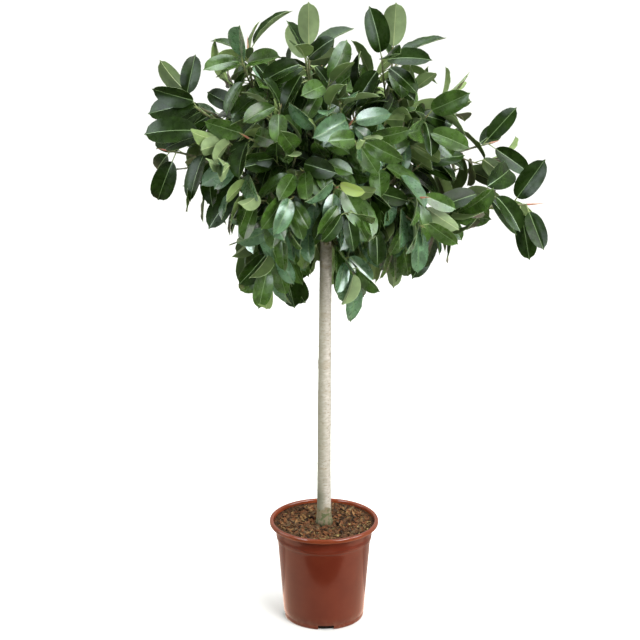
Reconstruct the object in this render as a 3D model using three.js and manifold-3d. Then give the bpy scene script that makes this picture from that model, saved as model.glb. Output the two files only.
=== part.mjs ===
// A rubber fig grown as a standard: one clean stem in a nursery pot, under a loose umbrella of leafy shoots.
// Millimetres, +Z up. The origin is the centre of the pot's flat underside, and -Y is the front.
import * as THREE from 'three';
import { mergeVertices } from 'three/addons/utils/BufferGeometryUtils.js';
import Module from 'manifold-3d';

const wasm = await Module();
wasm.setup();

// ---------- Driving dimensions ----------
const GAP = 0.3; // clearance between neighbouring solids
const POT_HEIGHT = 285;
const LIP_RADIUS = 150; // widest part of the rolled lip
const LIP_HEIGHT = 12;
const LIP_WIDTH = 11;
const LIP_ROUND = 3;
const COLLAR_TOP = 258; // the lip's flared underside ends here
const COLLAR_FOOT = 233; // ledge that the pots stack on
const COLLAR_RADIUS = 133.5;
const LEDGE_STEP = 2; // the ledge slopes in by this much
const LEDGE_DROP = 3; // and down by this much
const BODY_RADIUS = 128.5; // just under the ledge
const FOOT_RADIUS = 110.5;
const FOOT_ROUND = 6; // rounding between wall and underside
const WALL = 2.5;
const FLOOR = 3;
const DRAIN_COUNT = 4;
const DRAIN_WIDTH = 44;
const DRAIN_HEIGHT = 12;
const DRAIN_DEPTH = 17;
const DRAIN_TURN = -87; // degrees from +X of the first drain slot
const POT_SIDES = 32;

const SOIL_EDGE = 268; // height of the bark mulch against the wall
const SOIL_CENTRE = 281; // height of the mound round the stem

const TRUNK_TOP = 1205;
const TRUNK_LEAN = 7; // sideways shift of the top
const TRUNK_FOOT_RADIUS = 24;
const TRUNK_RADIUS = 19; // just above the root flare
const TRUNK_TOP_RADIUS = 15;
const FLARE_HEIGHT = 45;

const BOUGH_RADIUS = 8; // where it leaves the trunk
const STEM_RADIUS = 4.6; // where the leaves begin
const TIP_RADIUS = 2.4;

const LEAF_LENGTH = 126; // blade only
const LEAF_WIDTH = 70;
const PETIOLE = 26;
const LEAF_THICKNESS = 4;
const FOLD = 0.3; // rise of the blade's edges, as a share of its half width
const ARCH = 0.13; // fall of the blade's tip, as a share of its length
const FIRST_NODE = 3; // from the tip of a shoot back to its youngest leaf
const SPIRAL = 137.5; // degrees from one leaf to the next
const GROWN = 3.5; // age, in leaves from the tip, at which a leaf is full grown
const GROWN_LEAN = 66; // degrees between a full-grown petiole and its shoot
const GROWN_DROOP = 0.62; // how far a full-grown blade has turned to hang straight down
const SIDE_SHOOT_MIN = 110;
const SIDE_SHOOT_MAX = 180;
const SIDE_SHOOT_LEAST = 60; // a side shoot with less room than this is left out
const TRIES = 13; // poses tried for a leaf before it is left out
const ROOM = 2.5; // how far leaves stay inside their own space
const WINDOW_HALF = 24; // half the width of the gap in front of the stem, which leaves hang clear of
const WINDOW_TOP = 1050; // height on the stem down to which leaves may hang in front of it
const WINDOW_SLOPE = 0.277; // fall of a line of sight that looks down on the head
const SEED = 11;

// Sides round and rings along each kind of bar.
const TRUNK_FACETS = [12, 12];
const BOUGH_FACETS = [5, 3];
const STEM_FACETS = [4, 3];
const SIDE_SHOOT_FACETS = [3, 2];
const PATH_POINTS = 9; // straight pieces that stand for a stem when distances to it are measured

// Each limb leaves the trunk at height `fork` and ends at its shoot tip. `out` and `up` place the bend between the
// two, as shares of the limb's reach and rise, and `bare` is the share of the limb that is leafless bough.
// `lean` and `droop` are those of the youngest leaves, `nodes` is the length of shoot from leaf to leaf, and
// `shoots` counts the side shoots.
// A limb row is [azimuth from +X, radius and height of the tip, turn of the youngest leaf].
const TIERS = [
  { name: 'leader', fork: 1180, out: 0.95, up: 0.45, bare: 0.46, lean: 13, droop: 0.04, nodes: 21, shoots: 3, limbs: [
    [180, 195, 1577, 20], [207, 44, 1580, -20], [3, 176, 1570, 175], [92, 175, 1485, 90]] },
  { name: 'shoulder', fork: 1150, out: 0.55, up: 0.75, bare: 0.3, lean: 32, droop: 0.2, nodes: 20, shoots: 5, limbs: [
    [-6, 285, 1430, 80], [222, 255, 1390, 140], [-72, 205, 1430, 0], [45, 260, 1400, 60], [142, 260, 1410, 200]] },
  { name: 'reach', fork: 1120, out: 0.4, up: 0.75, bare: 0.42, lean: 50, droop: 0.3, nodes: 30, shoots: 3, limbs: [
    [179, 375, 1455, 15], [196, 410, 1345, 50], [9, 440, 1325, 100], [-5, 530, 1188, 160]] },
  { name: 'arm', fork: 1120, out: 0.4, up: 0.75, bare: 0.3, lean: 50, droop: 0.45, nodes: 19, shoots: 5, limbs: [
    [236, 290, 1245, 80], [-84, 285, 1290, 30], [-38, 300, 1240, 0], [66, 310, 1250, 40], [120, 310, 1250, 300]] },
  { name: 'skirt', fork: 1080, out: 0.55, up: 1.0, bare: 0.24, lean: 50, droop: 0.45, nodes: 20, shoots: 3, limbs: [
    [205, 175, 1100, 0], [-85, 185, 1190, 90], [-12, 188, 1165, 270], [72, 205, 1110, 45], [140, 205, 1105, 135]] },
];

// ---------- Small helpers ----------
const UP = new THREE.Vector3(0, 0, 1);
const radians = THREE.MathUtils.degToRad;
const mix = THREE.MathUtils.lerp;

// A repeatable random stream for each set of keys.
function stream(...keys) {
  let state = 2166136261;
  for (const key of keys) state = Math.imul(state ^ (key + 101), 16777619) >>> 0;
  return () => {
    state = (state + 0x6d2b79f5) >>> 0;
    let t = Math.imul(state ^ (state >>> 15), state | 1);
    t ^= t + Math.imul(t ^ (t >>> 7), t | 61);
    return ((t ^ (t >>> 14)) >>> 0) / 4294967296;
  };
}

// Closed geometry to solid and back.
function solidOf(geometry) {
  const bare = geometry.clone();
  for (const name of Object.keys(bare.attributes)) if (name !== 'position') bare.deleteAttribute(name);
  const merged = mergeVertices(bare, 1e-3);
  return new wasm.Manifold(new wasm.Mesh({
    numProp: 3,
    vertProperties: new Float32Array(merged.attributes.position.array),
    triVerts: new Uint32Array(merged.index.array),
  }));
}

function geometryOf(solid) {
  const mesh = solid.getMesh();
  const geometry = new THREE.BufferGeometry();
  geometry.setAttribute('position', new THREE.BufferAttribute(new Float32Array(mesh.vertProperties), 3));
  geometry.setIndex(new THREE.BufferAttribute(new Uint32Array(mesh.triVerts), 1));
  geometry.computeVertexNormals();
  return geometry;
}

const largestBody = (solid) => solid.decompose().reduce((a, b) => (a.volume() > b.volume() ? a : b));

// A solid of revolution about Z from [radius, height] pairs.
function turned(profile, sides) {
  const points = profile.map(([radius, height]) => new THREE.Vector2(radius, height));
  return new THREE.LatheGeometry(points, sides).rotateX(Math.PI / 2);
}

// A round bar along a curve in a vertical plane: a cylinder whose rings are moved onto the curve.
function taperedBar(curve, normal, radiusAt, [sides, rings]) {
  const bar = new THREE.CylinderGeometry(1, 1, 1, sides, rings);
  const place = bar.attributes.position;
  const vertex = new THREE.Vector3();
  for (let i = 0; i < place.count; i++) {
    vertex.fromBufferAttribute(place, i);
    const t = vertex.y + 0.5;
    const tangent = curve.getTangent(t);
    const across = new THREE.Vector3().crossVectors(normal, tangent);
    const point = curve.getPoint(t)
      .addScaledVector(normal, vertex.x * radiusAt(t))
      .addScaledVector(across, vertex.z * radiusAt(t));
    place.setXYZ(i, point.x, point.y, point.z);
  }
  return bar;
}

// The point at share t on the straight pieces that a bar of so many rings makes of its curve.
function axisPoint(curve, t, rings) {
  const ring = Math.min(Math.floor(t * rings), rings - 1);
  return curve.getPoint(ring / rings).lerp(curve.getPoint((ring + 1) / rings), t * rings - ring);
}

// The stretch of a quadratic curve between two shares of it.
function stretch(curve, from, to) {
  const start = curve.getPoint(from);
  const end = curve.getPoint(to);
  const slope = new THREE.Vector3()
    .subVectors(curve.v1, curve.v0).multiplyScalar(1 - from)
    .addScaledVector(new THREE.Vector3().subVectors(curve.v2, curve.v1), from)
    .multiplyScalar(to - from);
  return new THREE.QuadraticBezierCurve3(start, start.clone().add(slope), end);
}

// ---------- Pot and mulch ----------
function potSolid() {
  const lipFoot = POT_HEIGHT - LIP_HEIGHT;
  const lipInside = LIP_RADIUS - LIP_WIDTH;
  const profile = [
    [0, 0],
    [FOOT_RADIUS - FOOT_ROUND, 0],
    [FOOT_RADIUS - 0.3 * FOOT_ROUND, 0.15 * FOOT_ROUND],
    [FOOT_RADIUS, 0.6 * FOOT_ROUND],
    [BODY_RADIUS, COLLAR_FOOT - LEDGE_DROP],
    [COLLAR_RADIUS - LEDGE_STEP, COLLAR_FOOT],
    [COLLAR_RADIUS, COLLAR_TOP],
    [LIP_RADIUS - 1, lipFoot],
    [LIP_RADIUS, lipFoot + LIP_ROUND],
    [LIP_RADIUS, POT_HEIGHT - LIP_ROUND],
    [LIP_RADIUS - LIP_ROUND, POT_HEIGHT],
    [lipInside + LIP_ROUND, POT_HEIGHT],
    [lipInside, POT_HEIGHT - LIP_ROUND],
    [lipInside - 1, lipFoot],
    [COLLAR_RADIUS - WALL, COLLAR_TOP],
    [COLLAR_RADIUS - LEDGE_STEP - WALL, COLLAR_FOOT + 2],
    [BODY_RADIUS - WALL, COLLAR_FOOT - LEDGE_DROP],
    [FOOT_RADIUS - WALL, FLOOR + 2],
    [FOOT_RADIUS - WALL - 2, FLOOR],
    [0, FLOOR],
  ];
  let pot = solidOf(turned(profile, POT_SIDES));
  for (let i = 0; i < DRAIN_COUNT; i++) {
    const slot = new THREE.BoxGeometry(2 * DRAIN_DEPTH, DRAIN_WIDTH, 2 * DRAIN_HEIGHT);
    slot.translate(FOOT_RADIUS, 0, 0).rotateZ(radians(DRAIN_TURN + (i * 360) / DRAIN_COUNT));
    pot = pot.subtract(solidOf(slot));
  }
  return pot;
}

// Compost fills the pot up to a low mound of bark mulch.
function soilGeometry() {
  const inside = (radius) => radius - WALL - GAP;
  const profile = [
    [0, FLOOR + GAP],
    [inside(FOOT_RADIUS) - 2, FLOOR + GAP],
    [inside(FOOT_RADIUS), FLOOR + 2 + GAP],
    [inside(BODY_RADIUS), COLLAR_FOOT - LEDGE_DROP],
    [inside(COLLAR_RADIUS - LEDGE_STEP), COLLAR_FOOT + 2 + GAP],
    [inside(COLLAR_RADIUS), COLLAR_TOP + GAP],
    [inside(COLLAR_RADIUS) + 4, SOIL_EDGE],
    [mix(TRUNK_FOOT_RADIUS, COLLAR_RADIUS, 0.55), mix(SOIL_CENTRE, SOIL_EDGE, 0.35)],
    [TRUNK_FOOT_RADIUS + 6, SOIL_CENTRE],
    [0, SOIL_CENTRE],
  ];
  return turned(profile, POT_SIDES);
}

// ---------- Trunk and limbs ----------
const trunkFoot = SOIL_CENTRE + GAP;
const trunkCurve = new THREE.QuadraticBezierCurve3(
  new THREE.Vector3(0, 0, trunkFoot),
  new THREE.Vector3(0, 0, mix(trunkFoot, TRUNK_TOP, 0.5)),
  new THREE.Vector3(TRUNK_LEAN, 0, TRUNK_TOP),
);

function trunkRadius(t) {
  const height = t * (TRUNK_TOP - trunkFoot);
  const flare = (TRUNK_FOOT_RADIUS - TRUNK_RADIUS) * Math.exp((-3 * height) / FLARE_HEIGHT);
  return mix(TRUNK_RADIUS, TRUNK_TOP_RADIUS, t) + flare;
}

function trunkGeometry(extra = 0) {
  return taperedBar(trunkCurve, new THREE.Vector3(0, 1, 0), (t) => trunkRadius(t) + extra, TRUNK_FACETS);
}

// Limb rows become curves from the trunk's axis to the shoot tip, with the forks of a tier spread over its height.
const FORK_STEP = 9;
const SKIRT_RISE = 35; // a skirt limb first rises this far and then bows down
const limbs = TIERS.flatMap((tier, tierIndex) => tier.limbs.map(([azimuth, radius, height, turn], index) => {
  const away = new THREE.Vector3(Math.cos(radians(azimuth)), Math.sin(radians(azimuth)), 0);
  const forkHeight = tier.fork - FORK_STEP * (index % 4);
  const start = trunkCurve.getPoint((forkHeight - trunkFoot) / (TRUNK_TOP - trunkFoot));
  const end = away.clone().multiplyScalar(radius).setZ(height);
  const rise = tier.name === 'skirt' ? SKIRT_RISE : height - start.z;
  const bend = away.clone().multiplyScalar(radius * tier.out).setZ(start.z + rise * tier.up);
  const curve = new THREE.QuadraticBezierCurve3(start, bend, end);
  const leafy = stretch(curve, tier.bare, 1);
  return {
    name: tier.name + '_' + (index + 1),
    key: 10 * tierIndex + index,
    tier,
    turn,
    normal: new THREE.Vector3(-away.y, away.x, 0),
    bough: stretch(curve, 0, tier.bare),
    leafy,
    length: leafy.getLength(),
    path: leafy.getPoints(PATH_POINTS),
  };
}));

const boughRadius = (t) => mix(BOUGH_RADIUS, STEM_RADIUS, t);
const stemRadius = (t) => mix(STEM_RADIUS, TIP_RADIUS, t);

function boughGeometry(limb, extra = 0) {
  return taperedBar(limb.bough, limb.normal, (t) => boughRadius(t) + extra, BOUGH_FACETS);
}

// ---------- Leaves ----------
// The pose of a leaf that sits at `seat` on a shoot heading `along`. The youngest stand round the tip, and older ones
// lean out, droop and turn their faces to the light. `trim` below 1 draws the leaf in.
function leafPose(tier, seat, along, normal, turn, age, trim, random) {
  const wild = () => random() * 2 - 1;
  const across = new THREE.Vector3().crossVectors(along, normal);
  const angle = radians(turn + 14 * wild());
  const outward = normal.clone().multiplyScalar(Math.cos(angle)).addScaledVector(across, Math.sin(angle));
  const growth = Math.min(age / GROWN, 1);
  const lean = radians(mix(tier.lean, GROWN_LEAN, growth) * trim + 9 * wild());
  const petiole = along.clone().multiplyScalar(Math.cos(lean)).addScaledVector(outward, Math.sin(lean));
  const face = along.clone().multiplyScalar(Math.sin(lean)).addScaledVector(outward, -Math.cos(lean));
  const droop = mix(tier.droop, GROWN_DROOP, growth) + 0.1 * wild();
  const fall = Math.acos(THREE.MathUtils.clamp(-petiole.z, -1, 1)) * droop;
  const hinge = new THREE.Vector3().crossVectors(petiole, UP).negate().normalize();
  const blade = petiole.clone().applyAxisAngle(hinge, fall);
  face.applyAxisAngle(hinge, fall);
  const light = new THREE.Vector3(seat.x, seat.y, 0).normalize().multiplyScalar(0.55).add(UP);
  light.addScaledVector(blade, -light.dot(blade)).normalize();
  face.lerp(light, mix(0.1, 0.6, growth)).addScaledVector(blade, -face.dot(blade)).normalize();
  const size = mix(0.9, 1, growth) * (1 + 0.12 * wild()) * mix(1, trim, 0.5);
  return { seat, petiole, blade, face, size };
}

// A folded, arched blade of twelve faces. Its root point lies inside the twig that bears it.
function leafPoints({ seat, petiole, blade, face, size }) {
  const length = LEAF_LENGTH * size;
  const half = (LEAF_WIDTH * size) / 2;
  const side = new THREE.Vector3().crossVectors(blade, face);
  const base = seat.clone().addScaledVector(petiole, PETIOLE * size);
  const at = (along, across, above) => base.clone()
    .addScaledVector(blade, along * length).addScaledVector(side, across * half)
    .addScaledVector(face, above * length);
  const edge = (FOLD * half) / length;
  const crest = at(0.45, 0, 0.02).addScaledVector(face, LEAF_THICKNESS / 2);
  const keel = at(0.45, 0, 0.02).addScaledVector(face, -LEAF_THICKNESS / 2);
  const rim = [seat, at(0.16, -0.84, edge), at(0.68, -0.86, edge - 0.03), at(1, 0, -ARCH),
    at(0.68, 0.86, edge - 0.03), at(0.16, 0.84, edge)];
  return { rim, crest, keel };
}

function leafSolid({ rim, crest, keel }) {
  const points = [...rim, crest, keel];
  const top = rim.length;
  const faces = rim.flatMap((_, i) => {
    const next = (i + 1) % rim.length;
    return [next, i, top, i, next, top + 1];
  });
  return new wasm.Manifold(new wasm.Mesh({
    numProp: 3,
    vertProperties: new Float32Array(points.flatMap((p) => p.toArray())),
    triVerts: new Uint32Array(faces),
  }));
}

// The same blade with its root drawn back out of the twig.
function bladeOnly({ rim, crest, keel }) {
  return { rim: [rim[0].clone().lerp(crest, 0.22), ...rim.slice(1)], crest, keel };
}

// Points spread over a blade, for testing where it lies.
function leafSamples({ rim, crest }) {
  const spokes = rim.flatMap((p) => [p, p.clone().lerp(crest, 0.5)]);
  const between = rim.map((p, i) => p.clone().lerp(rim[(i + 1) % rim.length], 0.5));
  return [crest, ...spokes, ...between].slice(2);
}

// ---------- Spaces ----------
const nearest = new THREE.Vector3();
function distanceTo(limb, point) {
  let best = Infinity;
  for (let i = 0; i < PATH_POINTS; i++) {
    new THREE.Line3(limb.path[i], limb.path[i + 1]).closestPointToPoint(point, true, nearest);
    best = Math.min(best, nearest.distanceTo(point));
  }
  return best;
}

// A point is in a limb's space where no other limb's leafy part is nearer.
function keepsToSpace(limb, points) {
  return points.every((point) => {
    const own = distanceTo(limb, point) + ROOM;
    return limbs.every((other) => other === limb || distanceTo(other, point) > own);
  });
}

// ---------- Foliage ----------
const blocks = [solidOf(trunkGeometry(1.5)), ...limbs.map((limb) => solidOf(boughGeometry(limb, 1)))];
const blockBoxes = blocks.map((block) => block.boundingBox());

const boxesMeet = (a, b) => a.min.every((low, i) => low <= b.max[i] && b.min[i] <= a.max[i]);

function meets(solid, box, others, otherBoxes) {
  return others.some((other, i) => boxesMeet(box, otherBoxes[i]) && !solid.intersect(other).isEmpty());
}

// The unit normal of the plane that a bent curve lies in, or `fallback` where it is straight.
function planeNormal(curve, fallback) {
  const first = new THREE.Vector3().subVectors(curve.v1, curve.v0).normalize();
  const second = new THREE.Vector3().subVectors(curve.v2, curve.v1).normalize();
  const normal = new THREE.Vector3().crossVectors(first, second);
  return normal.length() > 0.02 ? normal.normalize() : fallback;
}

// A side shoot that forks from the stem at share `t`, drawn in until it keeps to the limb's space.
function sideShoot(limb, t, turn, random) {
  const start = axisPoint(limb.leafy, t, STEM_FACETS[1]);
  const along = limb.leafy.getTangent(t);
  const across = new THREE.Vector3().crossVectors(along, limb.normal);
  const angle = radians(turn);
  const outward = limb.normal.clone().multiplyScalar(Math.cos(angle)).addScaledVector(across, Math.sin(angle));
  const heading = along.clone().multiplyScalar(0.75).add(outward).normalize();
  const ending = heading.clone().lerp(UP, limb.tier.name === 'skirt' ? -0.15 : 0.3).normalize();
  const flat = new THREE.Vector3(-heading.y, heading.x, 0).normalize();
  const radiusAt = (s) => mix(stemRadius(t) * 0.75, TIP_RADIUS, s);
  for (let reach = mix(SIDE_SHOOT_MIN, SIDE_SHOOT_MAX, random()); reach > SIDE_SHOOT_LEAST; reach *= 0.75) {
    const bend = start.clone().addScaledVector(heading, reach * 0.5);
    const end = bend.clone().addScaledVector(ending, reach * 0.5);
    const curve = new THREE.QuadraticBezierCurve3(start, bend, end);
    if (keepsToSpace(limb, curve.getPoints(4).slice(1))) {
      return [{ curve, normal: planeNormal(curve, flat), radiusAt, turn: 360 * random(), facets: SIDE_SHOOT_FACETS }];
    }
  }
  return [];
}

function shootsOf(limb) {
  const random = stream(SEED, limb.key, 1);
  const shoots = [
    { curve: limb.leafy, normal: limb.normal, radiusAt: stemRadius, turn: limb.turn, facets: STEM_FACETS },
  ];
  for (let i = 0; i < limb.tier.shoots; i++) {
    const t = mix(0.04, 0.72, (i + 0.5 * random()) / limb.tier.shoots);
    shoots.push(...sideShoot(limb, t, limb.turn + 60 + SPIRAL * i + 30 * random(), random));
  }
  return shoots;
}

// One limb's leafy part as a single solid. A leaf that leaves its space, or touches a limb, a twig or another leaf,
// is tried again turned and drawn in, and is left out after that.
// True for a leaf that would hang across the top of the clear stem, seen from in front.
function hidesStem({ rim }) {
  return rim.some((p) => p.y < 0 && p.z < WINDOW_TOP - WINDOW_SLOPE * p.y) &&
    rim.some((p) => p.x < WINDOW_HALF) && rim.some((p) => p.x > -WINDOW_HALF);
}

function foliageSolid(limb) {
  const shoots = shootsOf(limb);
  const twigs = shoots.map(({ curve, normal, radiusAt, facets }) => {
    const start = curve === limb.leafy ? GAP / limb.length : 0;
    return solidOf(taperedBar(stretch(curve, start, 1), normal, radiusAt, facets));
  });
  const twigBoxes = twigs.map((twig) => twig.boundingBox());
  const leaves = [];
  const leafBoxes = [];
  shoots.forEach(({ curve, normal, turn, facets }, shootIndex) => {
    const length = curve.getLength();
    const count = Math.floor((length - limb.tier.nodes / 2) / limb.tier.nodes) + 1;
    for (let age = 0; age < count; age++) {
      const spacing = limb.tier.nodes * mix(0.55, 1, Math.min(age / GROWN, 1));
      const t = 1 - (FIRST_NODE + age * spacing) / length;
      if (t < 0.03) break;
      for (let attempt = 0; attempt < TRIES; attempt++) {
        const random = stream(SEED, limb.key, 2 + shootIndex, age, attempt);
        const swing = 25 * attempt * (attempt % 2 ? 1 : -1);
        const pose = leafPose(limb.tier, axisPoint(curve, t, facets[1]), curve.getTangent(t), normal,
          turn + SPIRAL * age + swing, age, 1 - 0.035 * attempt, random);
        const points = leafPoints(pose);
        if (!keepsToSpace(limb, leafSamples(points)) || hidesStem(points)) continue;
        const leaf = leafSolid(points);
        const box = leaf.boundingBox();
        if (meets(leaf, box, blocks, blockBoxes)) continue;
        if (meets(leaf, box, leaves, leafBoxes)) continue;
        if (meets(leafSolid(bladeOnly(points)), box, twigs, twigBoxes)) continue;
        leaves.push(leaf);
        leafBoxes.push(box);
        break;
      }
    }
  });
  return wasm.Manifold.union([...twigs, ...leaves]);
}

// ---------- Assembly ----------
const finish = {
  pot: new THREE.MeshStandardMaterial({ color: 0x7a3626, roughness: 0.42 }),
  soil: new THREE.MeshStandardMaterial({ color: 0x4a2f22, roughness: 0.95 }),
  bark: new THREE.MeshStandardMaterial({ color: 0xc3bca9, roughness: 0.8 }),
  twig: new THREE.MeshStandardMaterial({ color: 0x6d7048, roughness: 0.7 }),
  leaf: new THREE.MeshStandardMaterial({ color: 0x2f5a35, roughness: 0.35 }),
};

const tree = new THREE.Group();

function addNode(name, geometry, material) {
  const mesh = new THREE.Mesh(geometry, material);
  mesh.name = name;
  tree.add(mesh);
}

addNode('pot', geometryOf(potSolid()), finish.pot);
addNode('soil', soilGeometry(), finish.soil);
addNode('trunk', trunkGeometry(), finish.bark);
// A bough starts clear of the trunk, and where it meets an earlier bough it forks from that one.
let wood = solidOf(trunkGeometry(GAP));
for (const limb of limbs) {
  const bough = largestBody(solidOf(boughGeometry(limb)).subtract(wood));
  addNode('bough_' + limb.name, geometryOf(bough), finish.twig);
  wood = wood.add(solidOf(boughGeometry(limb, GAP)));
}
for (const limb of limbs) addNode('foliage_' + limb.name, geometryOf(foliageSolid(limb)), finish.leaf);

export default tree;
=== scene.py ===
# %% [markdown]
# # A rubber fig grown as a standard
#
# This lesson dresses a potted plant: a reddish-brown nursery pot topped with bark mulch, one pale clean
# stem, and a loose round head of large leathery leaves. The construction model gives the place and
# reach of every part, and the cells below give each part its real surface.
#
# The frame is loaded first, because each later piece takes its place from it. A scene could also be
# built by eye and scaled at the end, but then the pieces would drift away from the model that carries
# the weight and the collisions.

# %% Load the frame
import math

import bpy
import numpy as np
from mathutils import Matrix, Quaternion, Vector, noise
from mathutils.bvhtree import BVHTree


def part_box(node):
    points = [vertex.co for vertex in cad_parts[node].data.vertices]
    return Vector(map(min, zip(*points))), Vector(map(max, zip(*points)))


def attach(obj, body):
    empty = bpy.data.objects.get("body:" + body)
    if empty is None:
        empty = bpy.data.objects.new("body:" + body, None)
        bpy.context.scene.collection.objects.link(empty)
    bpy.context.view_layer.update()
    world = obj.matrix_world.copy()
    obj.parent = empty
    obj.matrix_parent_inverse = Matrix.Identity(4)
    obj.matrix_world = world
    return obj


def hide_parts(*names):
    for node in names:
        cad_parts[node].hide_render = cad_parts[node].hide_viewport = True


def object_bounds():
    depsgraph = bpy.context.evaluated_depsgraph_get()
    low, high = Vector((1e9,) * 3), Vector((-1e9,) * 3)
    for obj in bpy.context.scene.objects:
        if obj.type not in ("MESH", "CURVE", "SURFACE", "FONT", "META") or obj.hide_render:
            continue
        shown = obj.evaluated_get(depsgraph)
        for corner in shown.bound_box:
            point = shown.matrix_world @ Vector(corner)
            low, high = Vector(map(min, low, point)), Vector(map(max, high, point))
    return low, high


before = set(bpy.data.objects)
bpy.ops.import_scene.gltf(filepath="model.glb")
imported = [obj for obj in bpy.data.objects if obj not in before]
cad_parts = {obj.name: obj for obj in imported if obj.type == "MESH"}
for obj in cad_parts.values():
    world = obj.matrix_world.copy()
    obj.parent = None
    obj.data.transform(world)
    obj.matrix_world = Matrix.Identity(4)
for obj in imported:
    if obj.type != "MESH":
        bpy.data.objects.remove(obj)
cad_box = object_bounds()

MM = 0.001
UP = Vector((0, 0, 1))
pot_high, soil_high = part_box("pot")[1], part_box("soil")[1]
trunk_low, trunk_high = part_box("trunk")


def rounded(corner):
    """A corner of a box, short enough to print."""
    return [round(value, 3) for value in corner]


print("the part reaches from", rounded(cad_box[0]), "to", rounded(cad_box[1]))

# %% [markdown]
# ## Randomness that repeats
#
# A plant needs chance in every leaf, and a scene has to come out the same on each run. One shared
# random generator would do, but adding a single leaf would then change every leaf after it. So each
# shoot and each leaf gets a stream of its own, started from whole-number keys that name it.

# %% Random streams
SEED = 11
WORD = 0xFFFFFFFF
HASH_START, HASH_STEP, KEY_SHIFT = 2166136261, 16777619, 101
DRAW_STEP = 0x6D2B79F5


def stream(*keys):
    """A repeatable random stream for each set of keys."""
    state = HASH_START
    for key in keys:
        state = ((state ^ (key + KEY_SHIFT)) * HASH_STEP) & WORD

    def draw():
        nonlocal state
        state = (state + DRAW_STEP) & WORD
        t = ((state ^ (state >> 15)) * (state | 1)) & WORD
        t ^= (t + (((t ^ (t >> 7)) * (t | 61)) & WORD)) & WORD
        return (t ^ (t >> 14)) / (WORD + 1)

    return draw


def mix(a, b, share):
    """The value at a share of the way from a to b."""
    return a + (b - a) * share


first = stream(SEED, 0)
print("first draws:", [round(first(), 3) for _ in range(3)])

# %% [markdown]
# ## Curves and bars
#
# Every stem on the plant is a round bar that follows a gentle bend. Blender's curve objects with a
# bevel could make them, but their rings can't be shaped one by one. A quadratic curve of three points
# is enough for each bend, and a function that lays rings of points along it leaves the radius free at
# every ring.

# %% Quadratic curves
LENGTH_PIECES = 60


class Bend:
    """A quadratic curve through space from three control points."""

    def __init__(self, start, middle, end):
        self.start, self.middle, self.end = start, middle, end

    def point(self, t):
        return self.start * (1 - t) ** 2 + self.middle * (2 * t * (1 - t)) + self.end * t**2

    def heading(self, t):
        return ((self.middle - self.start) * (1 - t) + (self.end - self.middle) * t).normalized()

    def points(self, pieces):
        return [self.point(i / pieces) for i in range(pieces + 1)]

    def length(self):
        path = self.points(LENGTH_PIECES)
        return sum((b - a).length for a, b in zip(path, path[1:]))

    def stretch(self, low, high):
        """The part of the curve between two shares of it."""
        slope = ((self.middle - self.start) * (1 - low) + (self.end - self.middle) * low) * (high - low)
        start = self.point(low)
        return Bend(start, start + slope, self.point(high))


# %% Bars and mesh objects
def bar(points, radii, sides):
    """Rings of points round a path, closed at both ends: points and faces."""
    along = [(b - a).normalized() for a, b in zip(points, points[1:])]
    along = [along[0], *[(a + b).normalized() for a, b in zip(along, along[1:])], along[-1]]
    across = along[0].orthogonal().normalized()
    angles = [math.tau * k / sides for k in range(sides)]
    rings = []
    for place, heading, radius in zip(points, along, radii):
        across = (across - heading * across.dot(heading)).normalized()
        third = heading.cross(across)
        for a in angles:
            rings.append(place + across * (radius * math.cos(a)) + third * (radius * math.sin(a)))
    faces = []
    for ring in range(len(points) - 1):
        low = ring * sides
        faces += [(low + k, low + (k + 1) % sides, low + sides + (k + 1) % sides, low + sides + k)
                  for k in range(sides)]
    faces.append(tuple(reversed(range(sides))))
    faces.append(tuple(range(len(rings) - sides, len(rings))))
    return [tuple(p) for p in rings], faces


def circle(radius, height, sides):
    """Points of a level circle about the upright axis."""
    angles = [math.tau * k / sides for k in range(sides)]
    return [(radius * math.cos(angle), radius * math.sin(angle), height) for angle in angles]


class Pile:
    """Collects many small shapes and makes one mesh object of them."""

    def __init__(self):
        self.points, self.faces, self.tints = [], [], []

    def add(self, points, faces, tint=0):
        shift = len(self.points)
        self.points += points
        self.faces += [tuple(i + shift for i in face) for face in faces]
        self.tints += [tint] * len(faces) if isinstance(tint, int) else tint

    def make(self, name, finishes, smooth=True):
        mesh = bpy.data.meshes.new(name)
        mesh.from_pydata(self.points, [], self.faces)
        for finish in finishes:
            mesh.materials.append(finish.material)
        mesh.polygons.foreach_set("material_index", self.tints)
        mesh.polygons.foreach_set("use_smooth", [smooth] * len(self.faces))
        mesh.update()
        piece = bpy.data.objects.new(name, mesh)
        bpy.context.scene.collection.objects.link(piece)
        return piece


def triangles(piece):
    """How many triangles a mesh piece has."""
    return sum(len(p.vertices) - 2 for p in piece.data.polygons)


# %% [markdown]
# ## Shader maths in plain Python
#
# A procedural finish is a small sum: so much of one colour where a noise is high, so much of another
# where the height is low. Wired by hand that sum is a dozen nodes. Here a socket is wrapped in a class
# that understands + - and *, so the sum is written as a sum and the Math nodes appear behind it.
# Colours and vectors go through Mix and Vector Math nodes, because a Math node would turn a colour
# grey.

# %% A socket that can be reckoned with
class Wire:
    """One output socket, with the operators that shader sums need."""

    def __init__(self, pattern, socket):
        self.pattern, self.socket = pattern, socket

    def _math(self, operation, first, second):
        return self.pattern.node("ShaderNodeMath", {"operation": operation}, {0: first, 1: second})

    def __add__(self, other):
        return self._math("ADD", self, other)

    def __radd__(self, other):
        return self._math("ADD", other, self)

    def __sub__(self, other):
        return self._math("SUBTRACT", self, other)

    def __rsub__(self, other):
        return self._math("SUBTRACT", other, self)

    def __mul__(self, other):
        return self._math("MULTIPLY", self, other)

    def __rmul__(self, other):
        return self._math("MULTIPLY", other, self)

    def between(self, low, high):
        """0 below low, 1 above high, smooth between."""
        settings = {"interpolation_type": "SMOOTHSTEP", "clamp": True}
        inputs = {"Value": self, "From Min": low, "From Max": high}
        return self.pattern.node("ShaderNodeMapRange", settings, inputs)


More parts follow.
